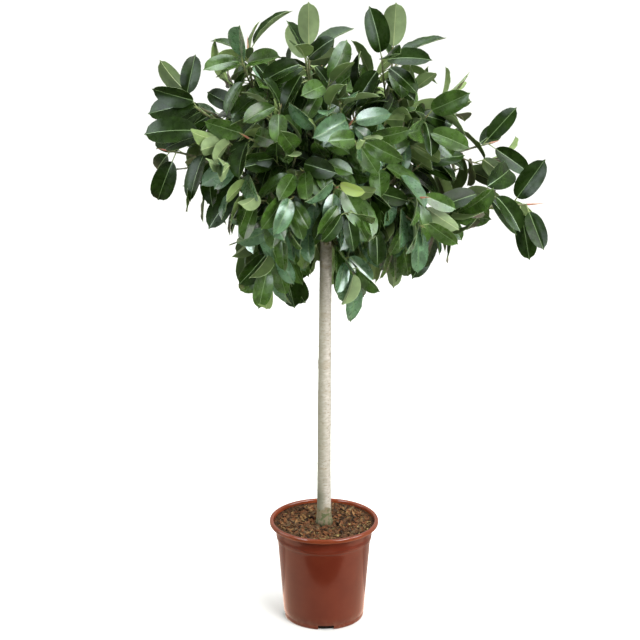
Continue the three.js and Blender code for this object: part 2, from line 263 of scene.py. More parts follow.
# %% A pattern adds nodes to a tree
class Pattern:
    """The nodes that a finish, or the room round the plant, is made of."""

    def __init__(self, tree):
        self.tree = tree

    def node(self, kind, settings=None, inputs=None, output=0):
        """Adds a node of any kind: settings first, then the values or links of its sockets."""
        node = self.tree.nodes.new(kind)
        for label, value in (settings or {}).items():
            setattr(node, label, value)
        for key, value in (inputs or {}).items():
            if isinstance(value, Wire):
                self.tree.links.new(value.socket, node.inputs[key])
            else:
                node.inputs[key].default_value = value
        return Wire(self, node.outputs[output])

    def place(self):
        """Where the surface is, in the frame's own metres."""
        return self.node("ShaderNodeTexCoord", output="Object")

    def part(self, vector, axis):
        """One of a vector's three numbers."""
        return self.node("ShaderNodeSeparateXYZ", inputs={0: vector}, output=axis)

    def scaled(self, vector, x, y, z):
        """A vector multiplied axis by axis."""
        return self.node("ShaderNodeVectorMath", {"operation": "MULTIPLY"}, {0: vector, 1: (x, y, z)})

    def noise(self, scale, detail=3, vector=None, roughness=0.5):
        """Soft random cloud from 0 to 1."""
        where = vector or self.place()
        inputs = {"Vector": where, "Scale": scale, "Detail": detail, "Roughness": roughness}
        return self.node("ShaderNodeTexNoise", inputs=inputs)

    def grain(self, x, y, z, detail=4, roughness=0.5):
        """A cloud drawn out along the axes with small numbers."""
        return self.noise(1, detail, self.scaled(self.place(), x, y, z), roughness)

    def blend(self, share, first, second):
        """Mixes two colours by a share from 0 to 1."""
        first = first if isinstance(first, Wire) else (*first, 1)
        second = second if isinstance(second, Wire) else (*second, 1)
        inputs = {0: share, 6: first, 7: second}
        return self.node("ShaderNodeMix", {"data_type": "RGBA"}, inputs, output=2)


# %% A finish is one material
class Finish(Pattern):
    """One material. Plain numbers and colours are set on the shader's own sockets."""

    def __init__(self, name, **sockets):
        self.material = bpy.data.materials.new(name)
        self.material.use_nodes = True
        super().__init__(self.material.node_tree)
        self.shader = self.tree.nodes["Principled BSDF"]
        for label, value in sockets.items():
            socket = self.shader.inputs[label.replace("_", " ").title().replace("Ior", "IOR")]
            socket.default_value = (*value, 1) if isinstance(value, tuple) else value

    def feed(self, label, wire):
        """Links a pattern to one of the shader's sockets."""
        self.tree.links.new(wire.socket, self.shader.inputs[label])

    def bump(self, height, distance, strength):
        """Relief that is too fine for the mesh."""
        inputs = {"Strength": strength, "Distance": distance, "Height": height}
        self.feed("Normal", self.node("ShaderNodeBump", inputs=inputs, output="Normal"))
        return self


# %% [markdown]
# ## The limbs
#
# The head is carried by limbs that leave the top of the stem in tiers: leaders that stand up,
# shoulders, long open shoots that reach past the head, arms, and a skirt that bows down. Each limb
# could be drawn as a curve by hand. A table says the same in one row a limb, and it is the table that
# the construction model grew from, so both meet to the millimetre.
#
# A row gives the azimuth in degrees, the reach and height in millimetres, and the turn of the first
# leaf in degrees. A tier gives the height of its forks and the bend of its boughs, the share of a limb
# that is bare, how far young leaves lean from the shoot and droop, the millimetres from leaf to leaf,
# and the number of side shoots.

# %% Table of limbs
TIERS = [
    dict(name="leader", fork=1180, out=0.95, up=0.45, bare=0.46, lean=13, droop=0.04, nodes=21, shoots=3,
         limbs=[(180, 195, 1577, 20), (207, 44, 1580, -20), (3, 176, 1570, 175), (92, 175, 1485, 90)]),
    dict(name="shoulder", fork=1150, out=0.55, up=0.75, bare=0.3, lean=32, droop=0.2, nodes=20, shoots=5,
         limbs=[(-6, 285, 1430, 80), (222, 255, 1390, 140), (-72, 205, 1430, 0), (45, 260, 1400, 60),
                (142, 260, 1410, 200)]),
    dict(name="reach", fork=1120, out=0.4, up=0.75, bare=0.42, lean=50, droop=0.3, nodes=30, shoots=3,
         limbs=[(179, 375, 1455, 15), (196, 410, 1345, 50), (9, 440, 1325, 100), (-5, 530, 1188, 160)]),
    dict(name="arm", fork=1120, out=0.4, up=0.75, bare=0.3, lean=50, droop=0.45, nodes=19, shoots=5,
         limbs=[(236, 290, 1245, 80), (-84, 285, 1290, 30), (-38, 300, 1240, 0), (66, 310, 1250, 40),
                (120, 310, 1250, 300)]),
    dict(name="skirt", fork=1080, out=0.55, up=1.0, bare=0.24, lean=50, droop=0.45, nodes=20, shoots=3,
         limbs=[(205, 175, 1100, 0), (-85, 185, 1190, 90), (-12, 188, 1165, 270), (72, 205, 1110, 45),
                (140, 205, 1105, 135)]),
]
FORK_STEP, FORKS_A_TURN = 9, 4
SKIRT_RISE = 35
TRUNK_LEAN = 7 * MM
trunk_foot, trunk_top = trunk_low.z, trunk_high.z
trunk_bend = Bend(Vector((0, 0, trunk_foot)), Vector((0, 0, mix(trunk_foot, trunk_top, 0.5))),
                  Vector((TRUNK_LEAN, 0, trunk_top)))


# %% Limbs from the table
class Limb:
    """A bough from the stem's axis, and the leafy shoot that it becomes."""

    def __init__(self, tier, tier_index, row, index):
        azimuth, radius, height, self.turn = row
        azimuth = math.radians(azimuth)
        away = Vector((math.cos(azimuth), math.sin(azimuth), 0))
        fork = (tier["fork"] - FORK_STEP * (index % FORKS_A_TURN)) * MM
        start = trunk_bend.point((fork - trunk_foot) / (trunk_top - trunk_foot))
        rise = SKIRT_RISE * MM if tier["name"] == "skirt" else height * MM - start.z
        middle = away * (radius * MM * tier["out"]) + UP * (start.z + rise * tier["up"])
        whole = Bend(start, middle, away * (radius * MM) + UP * (height * MM))
        self.tier, self.key = tier, 10 * tier_index + index
        self.name = f"{tier['name']}_{index + 1}"
        self.normal = Vector((-away.y, away.x, 0))
        self.bough = whole.stretch(0, tier["bare"])
        self.leafy = whole.stretch(tier["bare"], 1)


limbs = [Limb(tier, t, row, i) for t, tier in enumerate(TIERS) for i, row in enumerate(tier["limbs"])]
print(len(limbs), "limbs in", len(TIERS), "tiers")

# %% [markdown]
# ## Spaces
#
# Each mass of leaves keeps to its own space, so that masses don't grow through each other: a point
# belongs to the limb whose leafy shoot is nearest. Testing this in plain Python for every leaf would
# take minutes, so all the shoots' straight pieces are put in one array and measured at once.

# %% Nearest shoot
PATH_PIECES = 9
segment_start = np.array([p for limb in limbs for p in limb.leafy.points(PATH_PIECES)[:-1]])
segment_end = np.array([p for limb in limbs for p in limb.leafy.points(PATH_PIECES)[1:]])
segment_run = segment_end - segment_start
segment_square = (segment_run**2).sum(axis=1)


def keeps_to_space(limb_index, points, room):
    """True where every point is nearer this limb's shoot than any other, by the given room."""
    points = np.array(points)
    offset = points[:, None, :] - segment_start[None]
    share = np.clip((offset * segment_run).sum(axis=2) / segment_square, 0, 1)
    distance = np.linalg.norm(offset - share[..., None] * segment_run, axis=2)
    per_limb = distance.reshape(len(points), len(limbs), PATH_PIECES).min(axis=2)
    own = per_limb[:, limb_index].copy()
    per_limb[:, limb_index] = np.inf
    return bool((per_limb.min(axis=1) > own + room).all())


# %% [markdown]
# ## Shoots
#
# A limb's leafy part is one main stem with side shoots that fork from it in a spiral, as buds do on a
# real stem. They could be drawn one by one, but the rule of the spiral needs only a count and two
# lengths. The first side shoots are those of the construction model. Between them come shorter, finer
# ones that only this scene has, so the head fills out without reaching further.

# %% A shoot
SPIRAL = 137.5
BOUGH_RADIUS, STEM_RADIUS, TIP_RADIUS = 8 * MM, 4.6 * MM, 2.4 * MM
SIDE_RADIUS_SHARE, FINER_BY_RANK = 0.75, 0.12


class Shoot:
    """A stem that bears leaves."""

    def __init__(self, bend, normal, thick, thin, turn, rank):
        self.bend, self.normal, self.thick, self.thin = bend, normal, thick, thin
        self.turn, self.rank = turn, rank
        self.length = bend.length()


# %% A side shoot that keeps to its space
STEM_PIECES = 3
SPACE_ROOM = 2.5 * MM
FORWARD, ENDS_RISE, SKIRT_ENDS_RISE = 0.75, 0.3, -0.15
DRAW_IN = 0.75


def chord_point(bend, t, pieces):
    """The point at share t on the straight pieces of a bend."""
    piece = min(int(t * pieces), pieces - 1)
    return bend.point(piece / pieces).lerp(bend.point((piece + 1) / pieces), t * pieces - piece)


def side_shoot(limb_index, t, turn, random, lengths, rank):
    """A side shoot from share t of the main stem, drawn in until it keeps to its space, or None."""
    limb = limbs[limb_index]
    longest, shortest, least = lengths
    start = chord_point(limb.leafy, t, STEM_PIECES)
    along = limb.leafy.heading(t)
    across = along.cross(limb.normal)
    outward = limb.normal * math.cos(math.radians(turn)) + across * math.sin(math.radians(turn))
    heading = (along * FORWARD + outward).normalized()
    ends_rise = SKIRT_ENDS_RISE if limb.tier["name"] == "skirt" else ENDS_RISE
    ending = heading.lerp(UP, ends_rise).normalized()
    reach = mix(shortest, longest, random())
    while reach > least:
        middle = start + heading * (reach * 0.5)
        bend = Bend(start, middle, middle + ending * (reach * 0.5))
        if keeps_to_space(limb_index, bend.points(4)[1:], SPACE_ROOM):
            normal = (bend.middle - bend.start).cross(bend.end - bend.middle).normalized()
            thick = mix(STEM_RADIUS, TIP_RADIUS, t) * SIDE_RADIUS_SHARE
            thin = TIP_RADIUS * (1 - FINER_BY_RANK * rank)
            return Shoot(bend, normal, thick, thin, 360 * random(), rank)
        reach *= DRAW_IN
    return None


# %% [markdown]
# Both sorts of side shoot follow one rule with other numbers: where on the main stem they start, how
# far the spiral is turned, how far chance moves each one, and the longest, shortest and least length.

# %% Grow the shoots
SIDE = dict(stream=1, first=0.04, last=0.72, slip=0.5, turn=60, wander=30,
            lengths=(180 * MM, 110 * MM, 60 * MM))
FINE = dict(stream=2, first=0.02, last=0.75, slip=0.8, turn=240, wander=40,
            lengths=(115 * MM, 70 * MM, 40 * MM))
FINE_SHOOTS = dict(leader=3, shoulder=5, reach=3, arm=5, skirt=5)


def shoots_of(limb_index):
    """The main stem of a limb, its side shoots, and the finer ones between them."""
    limb = limbs[limb_index]
    grown = [Shoot(limb.leafy, limb.normal, STEM_RADIUS, TIP_RADIUS, limb.turn, 0)]
    counts = (limb.tier["shoots"], FINE_SHOOTS[limb.tier["name"]])
    for rank, (sort, count) in enumerate(zip((SIDE, FINE), counts), start=1):
        random = stream(SEED, limb.key, sort["stream"])
        for i in range(count):
            t = mix(sort["first"], sort["last"], (i + sort["slip"] * random()) / count)
            turn = limb.turn + sort["turn"] + SPIRAL * i + sort["wander"] * random()
            grown.append(side_shoot(limb_index, t, turn, random, sort["lengths"], rank))
    return [shoot for shoot in grown if shoot]


shoots = [shoots_of(i) for i in range(len(limbs))]
sizes = [len(grown) for grown in shoots]
print(sum(sizes), "shoots, from", min(sizes), "to", max(sizes), "a limb")

# %% [markdown]
# ## How a leaf stands
#
# A rubber fig's leaf stands on a short stalk. The youngest leaves stand close round the tip of the
# shoot, and older ones lean out, droop and turn their upper faces to the light. All of that could be
# left to chance, but then the tips would look alike all over. So the lean and the droop follow from a
# leaf's age and tier, and chance only moves them a little.
#
# The leaves that stand out against the background give the head its outline. Those at the leaders' tips
# have a row of azimuth, lean and size each, youngest first. Those at the tips of the long shoots, and
# of two low ones beside the stem, have a row of azimuth, rise and size, and face the front.

# %% Tables of the leaves at the tips
WHORLS = dict(leader_1=((10, 32, 1.10), (150, 46, 0.85), (262, 50, 0.85)),
              leader_2=((268, 10, 0.97), (35, 50, 1.08), (155, 20, 0.85)),
              leader_3=((274, 10, 1.02), (22, 58, 1.10), (150, 18, 0.85)),
              leader_4=((75, 12, 0.97), (200, 44, 1.00), (330, 36, 0.90)))
TIP_LEAVES = {("reach_1", 0): ((180, -20, 0.92), (10, 78, 0.86), (184, -42, 0.95)),
              ("reach_2", 0): ((184, -28, 0.88), (192, -66, 1.02), (120, 12, 0.85)),
              ("reach_3", 0): ((-12, -32, 0.95), (-8, 50, 0.92), (48, 18, 0.90)),
              ("reach_4", 0): ((-4, -38, 0.98), (-12, -78, 1.06), (6, 62, 1.08)),
              ("skirt_1", 3): ((12, -60, 0.98), (-40, -72, 0.92), (70, -80, 0.95)),
              ("skirt_2", 1): ((150, -74, 0.90), (200, -58, 0.95), (270, -40, 0.90))}
TABLE_LEAVES = 3
TIP_FRONT = Vector((0, -1, 0.35)).normalized()

# %% The pose of one leaf
LEAF_LENGTH, LEAF_WIDTH, STALK = 120 * MM, 57 * MM, 26 * MM
GROWN, GROWN_LEAN, GROWN_DROOP = 3.5, 66, 0.62
TURN_WANDER, LEAN_WANDER, DROOP_WANDER, SIZE_WANDER = 14, 9, 0.1, 0.13
LIGHT_OUTWARD, YOUNG_TO_LIGHT, GROWN_TO_LIGHT = 0.55, 0.1, 0.6
LEAF_SIZES = dict(leader=0.92, shoulder=0.86, reach=1.03, arm=0.86, skirt=0.85)


def leaf_pose(tier, seat, along, normal, turn, age, trim, random, whorl=None):
    """Stalk, blade and face directions of a leaf at `seat` on a shoot heading `along`."""

    def wild():
        return random() * 2 - 1

    across = along.cross(normal)
    angle = math.radians(turn + TURN_WANDER * wild())
    outward = normal * math.cos(angle) + across * math.sin(angle)
    growth = min(age / GROWN, 1)
    lean = math.radians(mix(tier["lean"], GROWN_LEAN, growth) * trim + LEAN_WANDER * wild())
    if whorl:
        azimuth, lean, table_size = whorl
        azimuth, lean = math.radians(azimuth), math.radians(lean)
        outward = Vector((math.cos(azimuth), math.sin(azimuth), 0))
        outward = (outward - along * outward.dot(along)).normalized()
        growth = 0
    stalk = along * math.cos(lean) + outward * math.sin(lean)
    face = along * math.sin(lean) - outward * math.cos(lean)
    droop = mix(tier["droop"], GROWN_DROOP, growth) + DROOP_WANDER * wild()
    fall = math.acos(max(-1, min(1, -stalk.z))) * droop
    swing = Quaternion(-stalk.cross(UP).normalized(), fall)
    blade = swing @ stalk
    face = swing @ face
    light = Vector((seat.x, seat.y, 0)).normalized() * LIGHT_OUTWARD + UP
    light = (light - blade * light.dot(blade)).normalized()
    face = face.lerp(light, mix(YOUNG_TO_LIGHT, GROWN_TO_LIGHT, growth))
    face = (face - blade * face.dot(blade)).normalized()
    size = LEAF_SIZES[tier["name"]] * (1 + SIZE_WANDER * wild()) * mix(1, trim, 0.5)
    return dict(seat=seat, stalk=stalk, blade=blade, face=face, size=table_size if whorl else size)


def tip_pose(seat, azimuth, rise, size):
    """A leaf at the tip of a long open shoot: it points as the table says and faces the front."""
    azimuth, rise = math.radians(azimuth), math.radians(rise)
    level = math.cos(rise)
    stalk = Vector((math.cos(azimuth) * level, math.sin(azimuth) * level, math.sin(rise)))
    face = TIP_FRONT - stalk * TIP_FRONT.dot(stalk)
    return dict(seat=seat, stalk=stalk, blade=stalk, face=face.normalized(), size=size)


# %% [markdown]
# ## Placing the leaves
#
# A particle system could scatter leaves, but it takes no heed of what already stands in a place. So
# each leaf is tried in a few poses against the wood and the leaves before it, as a fan of six
# triangles, and takes the first pose that is free. The fan is only a stand-in: the finished blades are
# arched and twisted away from it, so many still cross. Testing the whole blades would end that, but
# take longer. Leaves near the tips go first, because they show most.

# %% A simple outline of the blade
RIM_LOW, RIM_HIGH = (0.2, 0.85), (0.68, 0.86)
RIM_RISE, RIM_FALL, TIP_FALL = 0.26, 0.04, 0.13
HEART = (0.45, 0.02)
FAN = [(i, (i + 1) % 6, 6) for i in range(6)]


def leaf_outline(pose):
    """Six rim points and a middle point of the blade, for testing where it lies."""
    length, half = LEAF_LENGTH * pose["size"], LEAF_WIDTH * pose["size"] / 2
    side = pose["blade"].cross(pose["face"])
    base = pose["seat"] + pose["stalk"] * (STALK * pose["size"])
    low, high = RIM_RISE * half, RIM_RISE * half - RIM_FALL * length

    def at(along, across, above):
        return base + pose["blade"] * (along * length) + side * (across * half) + pose["face"] * above

    return [base, at(RIM_LOW[0], -RIM_LOW[1], low), at(RIM_HIGH[0], -RIM_HIGH[1], high),
            at(1, 0, -TIP_FALL * length), at(*RIM_HIGH, high), at(*RIM_LOW, low),
            at(HEART[0], 0, HEART[1] * length)]


# %% [markdown]
# The wood is what a leaf must not cross. A tree of its triangles answers that question in microseconds.

# %% Wood to keep clear of
STEM_KEEP = 17 * MM
wood = Pile()
wood.add(*bar(trunk_bend.points(12), [STEM_KEEP] * 13, 8))
for limb, grown in zip(limbs, shoots):
    wood.add(*bar(limb.bough.points(4), [mix(BOUGH_RADIUS, STEM_RADIUS, i / 4) for i in range(5)], 6))
    for shoot in grown:
        wood.add(*bar(shoot.bend.points(4), [mix(shoot.thick, shoot.thin, i / 4) for i in range(5)], 5))
wood_tree = BVHTree.FromPolygons(wood.points, wood.faces)
print("wood has", len(wood.faces), "faces to keep clear of")

# %% [markdown]
# Leaves stand at even steps along a shoot, closer together near its tip. The long open shoots have shed
# a few of theirs, so a bare stretch shows behind the leaves at their tips.

# %% Places for leaves
NODE_SHARE = dict(leader=0.70, shoulder=0.70, reach=0.72, arm=0.68, skirt=0.70)
FIRST_NODE, TIP_CLOSENESS = 3 * MM, 0.55
LOWEST_SHARE = 0.03
SHED_AGES = range(3, 8)


def node_spacing(tier):
    """Length of shoot from leaf to leaf."""
    return tier["nodes"] * MM * NODE_SHARE[tier["name"]]


places = []
for limb_index, grown in enumerate(shoots):
    tier = limbs[limb_index].tier
    spacing = node_spacing(tier)
    for shoot_index, shoot in enumerate(grown):
        sheds = tier["name"] == "reach" and shoot_index == 0
        for age in range(int((shoot.length - spacing / 2) / spacing) + 1):
            closeness = mix(TIP_CLOSENESS, 1, min(age / GROWN, 1))
            share = 1 - (FIRST_NODE + age * spacing * closeness) / shoot.length
            if share > LOWEST_SHARE and not (sheds and age in SHED_AGES):
                places.append((age, limb_index, shoot_index, share))
places.sort()
print(len(places), "places for a leaf")

# %% [markdown]
# Three rules keep the outline of the head. A leaf stays inside the construction model's box. None hangs
# across the top of the clear stem, seen from in front. And none but the tips' own leaves hangs below
# the hem, a line given as heights across the width, in metres.

# %% Rules for the outline
reach_low = np.array(cad_box[0]) + 1 * MM
reach_high = np.array(cad_box[1]) - 1 * MM
WINDOW_HALF, WINDOW_TOP, WINDOW_RISE = 24 * MM, 1.050, 0.277
HEM_ACROSS = (-0.50, -0.385, -0.365, -0.33, -0.25, -0.21, 0.22, 0.26, 0.37, 0.41, 0.495, 0.515)
HEM_HEIGHT = (1.30, 1.30, 1.18, 1.16, 1.09, 0.80, 0.80, 1.02, 1.07, 1.13, 1.15, 0.80)


def outside(points):
    """True for a leaf that would reach out of the construction model's box."""
    return bool((points < reach_low).any() or (points > reach_high).any())


def hides_stem(points):
    """True for a leaf that would hang across the top of the clear stem, seen from in front."""
    crossing = (points[:, 0].min() < WINDOW_HALF) and (points[:, 0].max() > -WINDOW_HALF)
    below = points[:, 2] < WINDOW_TOP - WINDOW_RISE * points[:, 1]
    return bool(crossing and (below & (points[:, 1] < 0)).any())


def hangs_low(points):
    """True for a leaf that would hang below the hem of the head."""
    return bool((points[:, 2] < np.interp(points[:, 0], HEM_ACROSS, HEM_HEIGHT)).any())


# %% [markdown]
# At each new try a leaf swings further round its shoot, to one side and the other in turn, and gets a
# little smaller. Its base is tested a quarter of the way in, because its stalk has to touch the shoot.
# Where no try is free, the place stays empty, as after a fallen leaf.

# %% One try at a place
TRIES, TRY_KEY = 16, 20
SWING_TURN, SWING_AZIMUTH, SWING_RISE = 25, 14, 3
TRIM_A_TRY, SMALLER_A_TRY = 0.035, 0.02


def tried_pose(limb, shoot_index, shoot, age, share, attempt):
    """The pose of a leaf at one try, swung further aside at each, and whether a table gives it."""
    random = stream(SEED, limb.key, TRY_KEY + shoot_index, age, attempt)
    seat, along = shoot.bend.point(share), shoot.bend.heading(share)
    swing = attempt * (1 if attempt % 2 else -1)
    smaller = 1 - SMALLER_A_TRY * attempt
    if age < TABLE_LEAVES and (limb.name, shoot_index) in TIP_LEAVES:
        azimuth, rise, size = TIP_LEAVES[limb.name, shoot_index][age]
        azimuth, rise = azimuth + SWING_AZIMUTH * swing, rise + SWING_RISE * swing
        return tip_pose(seat, azimuth, rise, size * smaller), True
    whorl = None
    if age < TABLE_LEAVES and shoot_index == 0 and limb.name in WHORLS:
        azimuth, lean, size = WHORLS[limb.name][age]
        whorl = (azimuth + SWING_AZIMUTH * swing, lean, size * smaller)
    turn = shoot.turn + SPIRAL * age + SWING_TURN * swing
    trim = 1 - TRIM_A_TRY * attempt
    pose = leaf_pose(limb.tier, seat, along, shoot.normal, turn, age, trim, random, whorl)
    return pose, whorl is not None


# %% Try the leaves, youngest first
SHARED_ROOM = -38 * MM
OVERLAP_REACH = 165 * MM
BASE_CLEARANCE = 0.25
leaves = []
centres = np.empty((len(places), 3))
for age, limb_index, shoot_index, share in places:
    limb, shoot = limbs[limb_index], shoots[limb_index][shoot_index]
    for attempt in range(TRIES):
        pose, from_table = tried_pose(limb, shoot_index, shoot, age, share, attempt)
        outline = leaf_outline(pose)
        cloud = np.array(outline)
        if outside(cloud) or hides_stem(cloud) or (hangs_low(cloud) and not from_table):
            continue
        if not keeps_to_space(limb_index, outline, SHARED_ROOM):
            continue
        clear = [outline[0].lerp(outline[6], BASE_CLEARANCE), *outline[1:]]
        blade_tree = BVHTree.FromPolygons(clear, FAN)
        if blade_tree.overlap(wood_tree):
            continue
        near = np.linalg.norm(centres[:len(leaves)] - cloud[6], axis=1) < OVERLAP_REACH
        if any(blade_tree.overlap(leaves[i]["tree"]) for i in np.flatnonzero(near)):
            continue
        centres[len(leaves)] = cloud[6]
        leaves.append(dict(pose, tree=blade_tree, limb=limb, shoot_index=shoot_index, age=age,
                           heart=outline[6], from_table=from_table))
        break
print(len(leaves), "leaves of", len(places), "places")

# %% [markdown]
# ## Leaf finishes
#
# A rubber fig's leaf is thick and leathery: very dark and glossy above, pale and nearly dull below,
# with a pale midrib that stands out underneath. One two-sided material with a picture on it would be
# lighter, but the two faces differ in gloss as much as in colour. So the upper face, the underside, the
# midrib and the thin margin are finishes of their own, and the greens are dealt out by shoot, as a real
# plant's shoots differ in age, and by tier, as painted shade at the top and painted light in the skirt.
#
# Each green of the upper face has its own index of refraction, because a young leaf shines more than a
# dark old one. The deals list greens by number, and a green that stands in a deal twice is drawn twice
# as often.

# %% Greens above and below
# painted_sheen is a paler, bluer copy of the upper green: a painted sheen.
UPPER_GREENS = dict(deep=(0.010, 0.025, 0.002), full=(0.040, 0.086, 0.012), painted_sheen=(0.066, 0.138, 0.066),
                    olive=(0.115, 0.180, 0.046))
UPPER_GLOSS = dict(deep=1.22, full=1.42, painted_sheen=1.72, olive=1.50)
UNDER_GREENS = dict(shade=(0.060, 0.098, 0.020), moss=(0.165, 0.240, 0.070), sage=(0.200, 0.275, 0.115),
                    straw=(0.180, 0.245, 0.100))
# Painted shade and light: the leaders and the long shoots draw mostly the darkest green, and the skirt
# draws mostly paler ones.
UPPER_DEAL_WITH_PAINTED_LIGHT = dict(leader=(0, 0, 0, 0, 1, 1, 2), shoulder=(0, 0, 0, 1, 1, 1, 2, 2, 3),
                  reach=(0, 0, 0, 0, 1, 2), arm=(0, 0, 1, 1, 2, 2, 1, 3), skirt=(0, 1, 2, 1, 2, 3, 2, 3))
UNDER_DEAL = (0, 1, 1, 1, 2, 2, 3)


def upper_finish(name, green, ior):
    """Glossy upper face, a little uneven in colour and shine."""
    finish = Finish("leaf_upper_" + name, base_color=green, roughness=0.3, ior=ior)
    cloud = finish.noise(38, detail=3)
    lighter = tuple(min(1, c * 1.4 + 0.002) for c in green)
    darker = tuple(c * 0.72 for c in green)
    finish.feed("Base Color", finish.blend(cloud.between(0.35, 0.68), darker, lighter))
    finish.feed("Roughness", finish.noise(75, detail=2) * 0.16 + 0.20)
    return finish.bump(finish.noise(420, detail=2), 0.25 * MM, 0.35)


def under_finish(name, green):
    """Dull lower face."""
    finish = Finish("leaf_under_" + name, base_color=green, roughness=0.62, ior=1.42)
    cloud = finish.noise(46, detail=4)
    darker = tuple(c * 0.78 for c in green)
    finish.feed("Base Color", finish.blend(cloud.between(0.32, 0.66), darker, green))
    return finish.bump(finish.noise(360, detail=3), 0.3 * MM, 0.4)


uppers = [upper_finish(name, green, UPPER_GLOSS[name]) for name, green in UPPER_GREENS.items()]
unders = [under_finish(name, green) for name, green in UNDER_GREENS.items()]
midrib_above = Finish("leaf_midrib_above", base_color=(0.13, 0.21, 0.075), roughness=0.4)
midrib_below = Finish("leaf_midrib_below", base_color=(0.36, 0.42, 0.20), roughness=0.55)
margin = Finish("leaf_margin", base_color=(0.22, 0.30, 0.12), roughness=0.45)
stalk_finish = Finish("leaf_stalk", base_color=(0.21, 0.27, 0.09), roughness=0.45)
fresh_green = Finish("leaf_fresh", base_color=(0.36, 0.48, 0.12), roughness=0.36)
leaf_finishes = [*uppers, *unders, midrib_above, midrib_below, margin, stalk_finish, fresh_green]
first_single = len(uppers) + len(unders)
MIDRIB_ABOVE, MIDRIB_BELOW, MARGIN, STALK_TINT, FRESH = range(first_single, len(leaf_finishes))
print(len(leaf_finishes), "leaf finishes")

# %% [markdown]
# ## The shape of a leaf
#
# The blade is an oval with a short point. It is folded a little along the midrib, arched along its
# length, and its margin waves slightly. A flat cut-out with a bump would look like card from the side,
# so the blade is a thin solid of two grids: stations along the midrib, and columns across it whose
# middle strip is the midrib itself. The same template is bent anew for each leaf.

# %% Template of stations and columns
ROWS = 15
POINT_SHARE = 0.045
OVAL_FLATNESS, OVAL_FULLNESS = 2.2, 0.55
TAPER, TAPER_FROM = 1.7, 0.86
LEAST_HALF, LAST_HALF = 0.035, 0.01
station = (1 - np.cos(np.linspace(0, math.pi, ROWS))) / 2
oval_share = np.clip(station / (1 - POINT_SHARE), 0, 1)
oval = np.clip(1 - np.abs(2 * oval_share - 1) ** OVAL_FLATNESS, 0, 1) ** OVAL_FULLNESS
half_width = np.maximum(oval, TAPER * (1 - station) * (station > TAPER_FROM))
half_width = np.maximum(half_width, LEAST_HALF)
half_width[-1] = LAST_HALF
column = np.array([-1, -0.8, -0.42, -1, 1, 0.42, 0.8, 1.0])
COLUMNS, RIB_LEFT, RIB_RIGHT = len(column), 3, 4
print("stations along the midrib:", [round(float(share), 2) for share in station])

# %% [markdown]
# The two grids are closed by a strip all round, and every face is told what it is, so that it can take
# its own finish. The rim's edges are marked too: they are creased later, so the flat faces shade
# smoothly up to them.


# %% Faces of the template
UPPER, UNDER, RIB_UPPER, RIB_UNDER, RIM = range(5)


def grid_faces():
    """Faces of the thin solid, and what each one is."""
    faces, kinds = [], []
    below = ROWS * COLUMNS
    for r in range(ROWS - 1):
        for c in range(COLUMNS - 1):
            a, b = r * COLUMNS + c, r * COLUMNS + c + 1
            faces.append((a, a + COLUMNS, b + COLUMNS, b))
            faces.append((below + a, below + b, below + b + COLUMNS, below + a + COLUMNS))
            kinds += [RIB_UPPER, RIB_UNDER] if c == RIB_LEFT else [UPPER, UNDER]
        left, right = r * COLUMNS, r * COLUMNS + COLUMNS - 1
        faces.append((left, below + left, below + left + COLUMNS, left + COLUMNS))
        faces.append((right, right + COLUMNS, below + right + COLUMNS, below + right))
        kinds += [RIM, RIM]
    for c in range(COLUMNS - 1):
        tip = (ROWS - 1) * COLUMNS + c
        faces.append((c, c + 1, below + c + 1, below + c))
        faces.append((tip, below + tip, below + tip + 1, tip + 1))
        kinds += [RIM, RIM]
    return faces, kinds


blade_faces, blade_kinds = grid_faces()
row_of = np.repeat(np.arange(ROWS), COLUMNS)
column_of = np.tile(np.arange(COLUMNS), ROWS)
on_rim = (column_of == 0) | (column_of == COLUMNS - 1) | (row_of == 0) | (row_of == ROWS - 1)
rim_flag = np.concatenate([on_rim * 1, on_rim * 2])
print("a blade has", len(blade_faces), "faces")

# %% [markdown]
# No two leaves are alike, so the arch, the fold, the curl of the rim, its waves and a twist are drawn
# anew for each one. The leaves at the tips are twisted less, since they are the ones that show against
# the background.

# %% Bend one leaf
BLADE_THICKNESS = 0.7 * MM
MIDRIB_HALF, MIDRIB_TAPER, MIDRIB_WIDEST = 1.1 * MM, 0.6, 0.3
MIDRIB_DEPTH, MIDRIB_THINNING, MIDRIB_FADE = 1.5 * MM, 0.8, 0.2
WIDTHS, ARCHES, FOLDS, CURLS = (0.92, 1.1), (0.15, 0.7), (0.20, 0.50), (-0.1, 0.16)
WAVE_HEIGHTS, WAVES = (0, 0.07), 3.2
TWISTS, TIP_TWIST = (-0.5, 0.5), 0.3


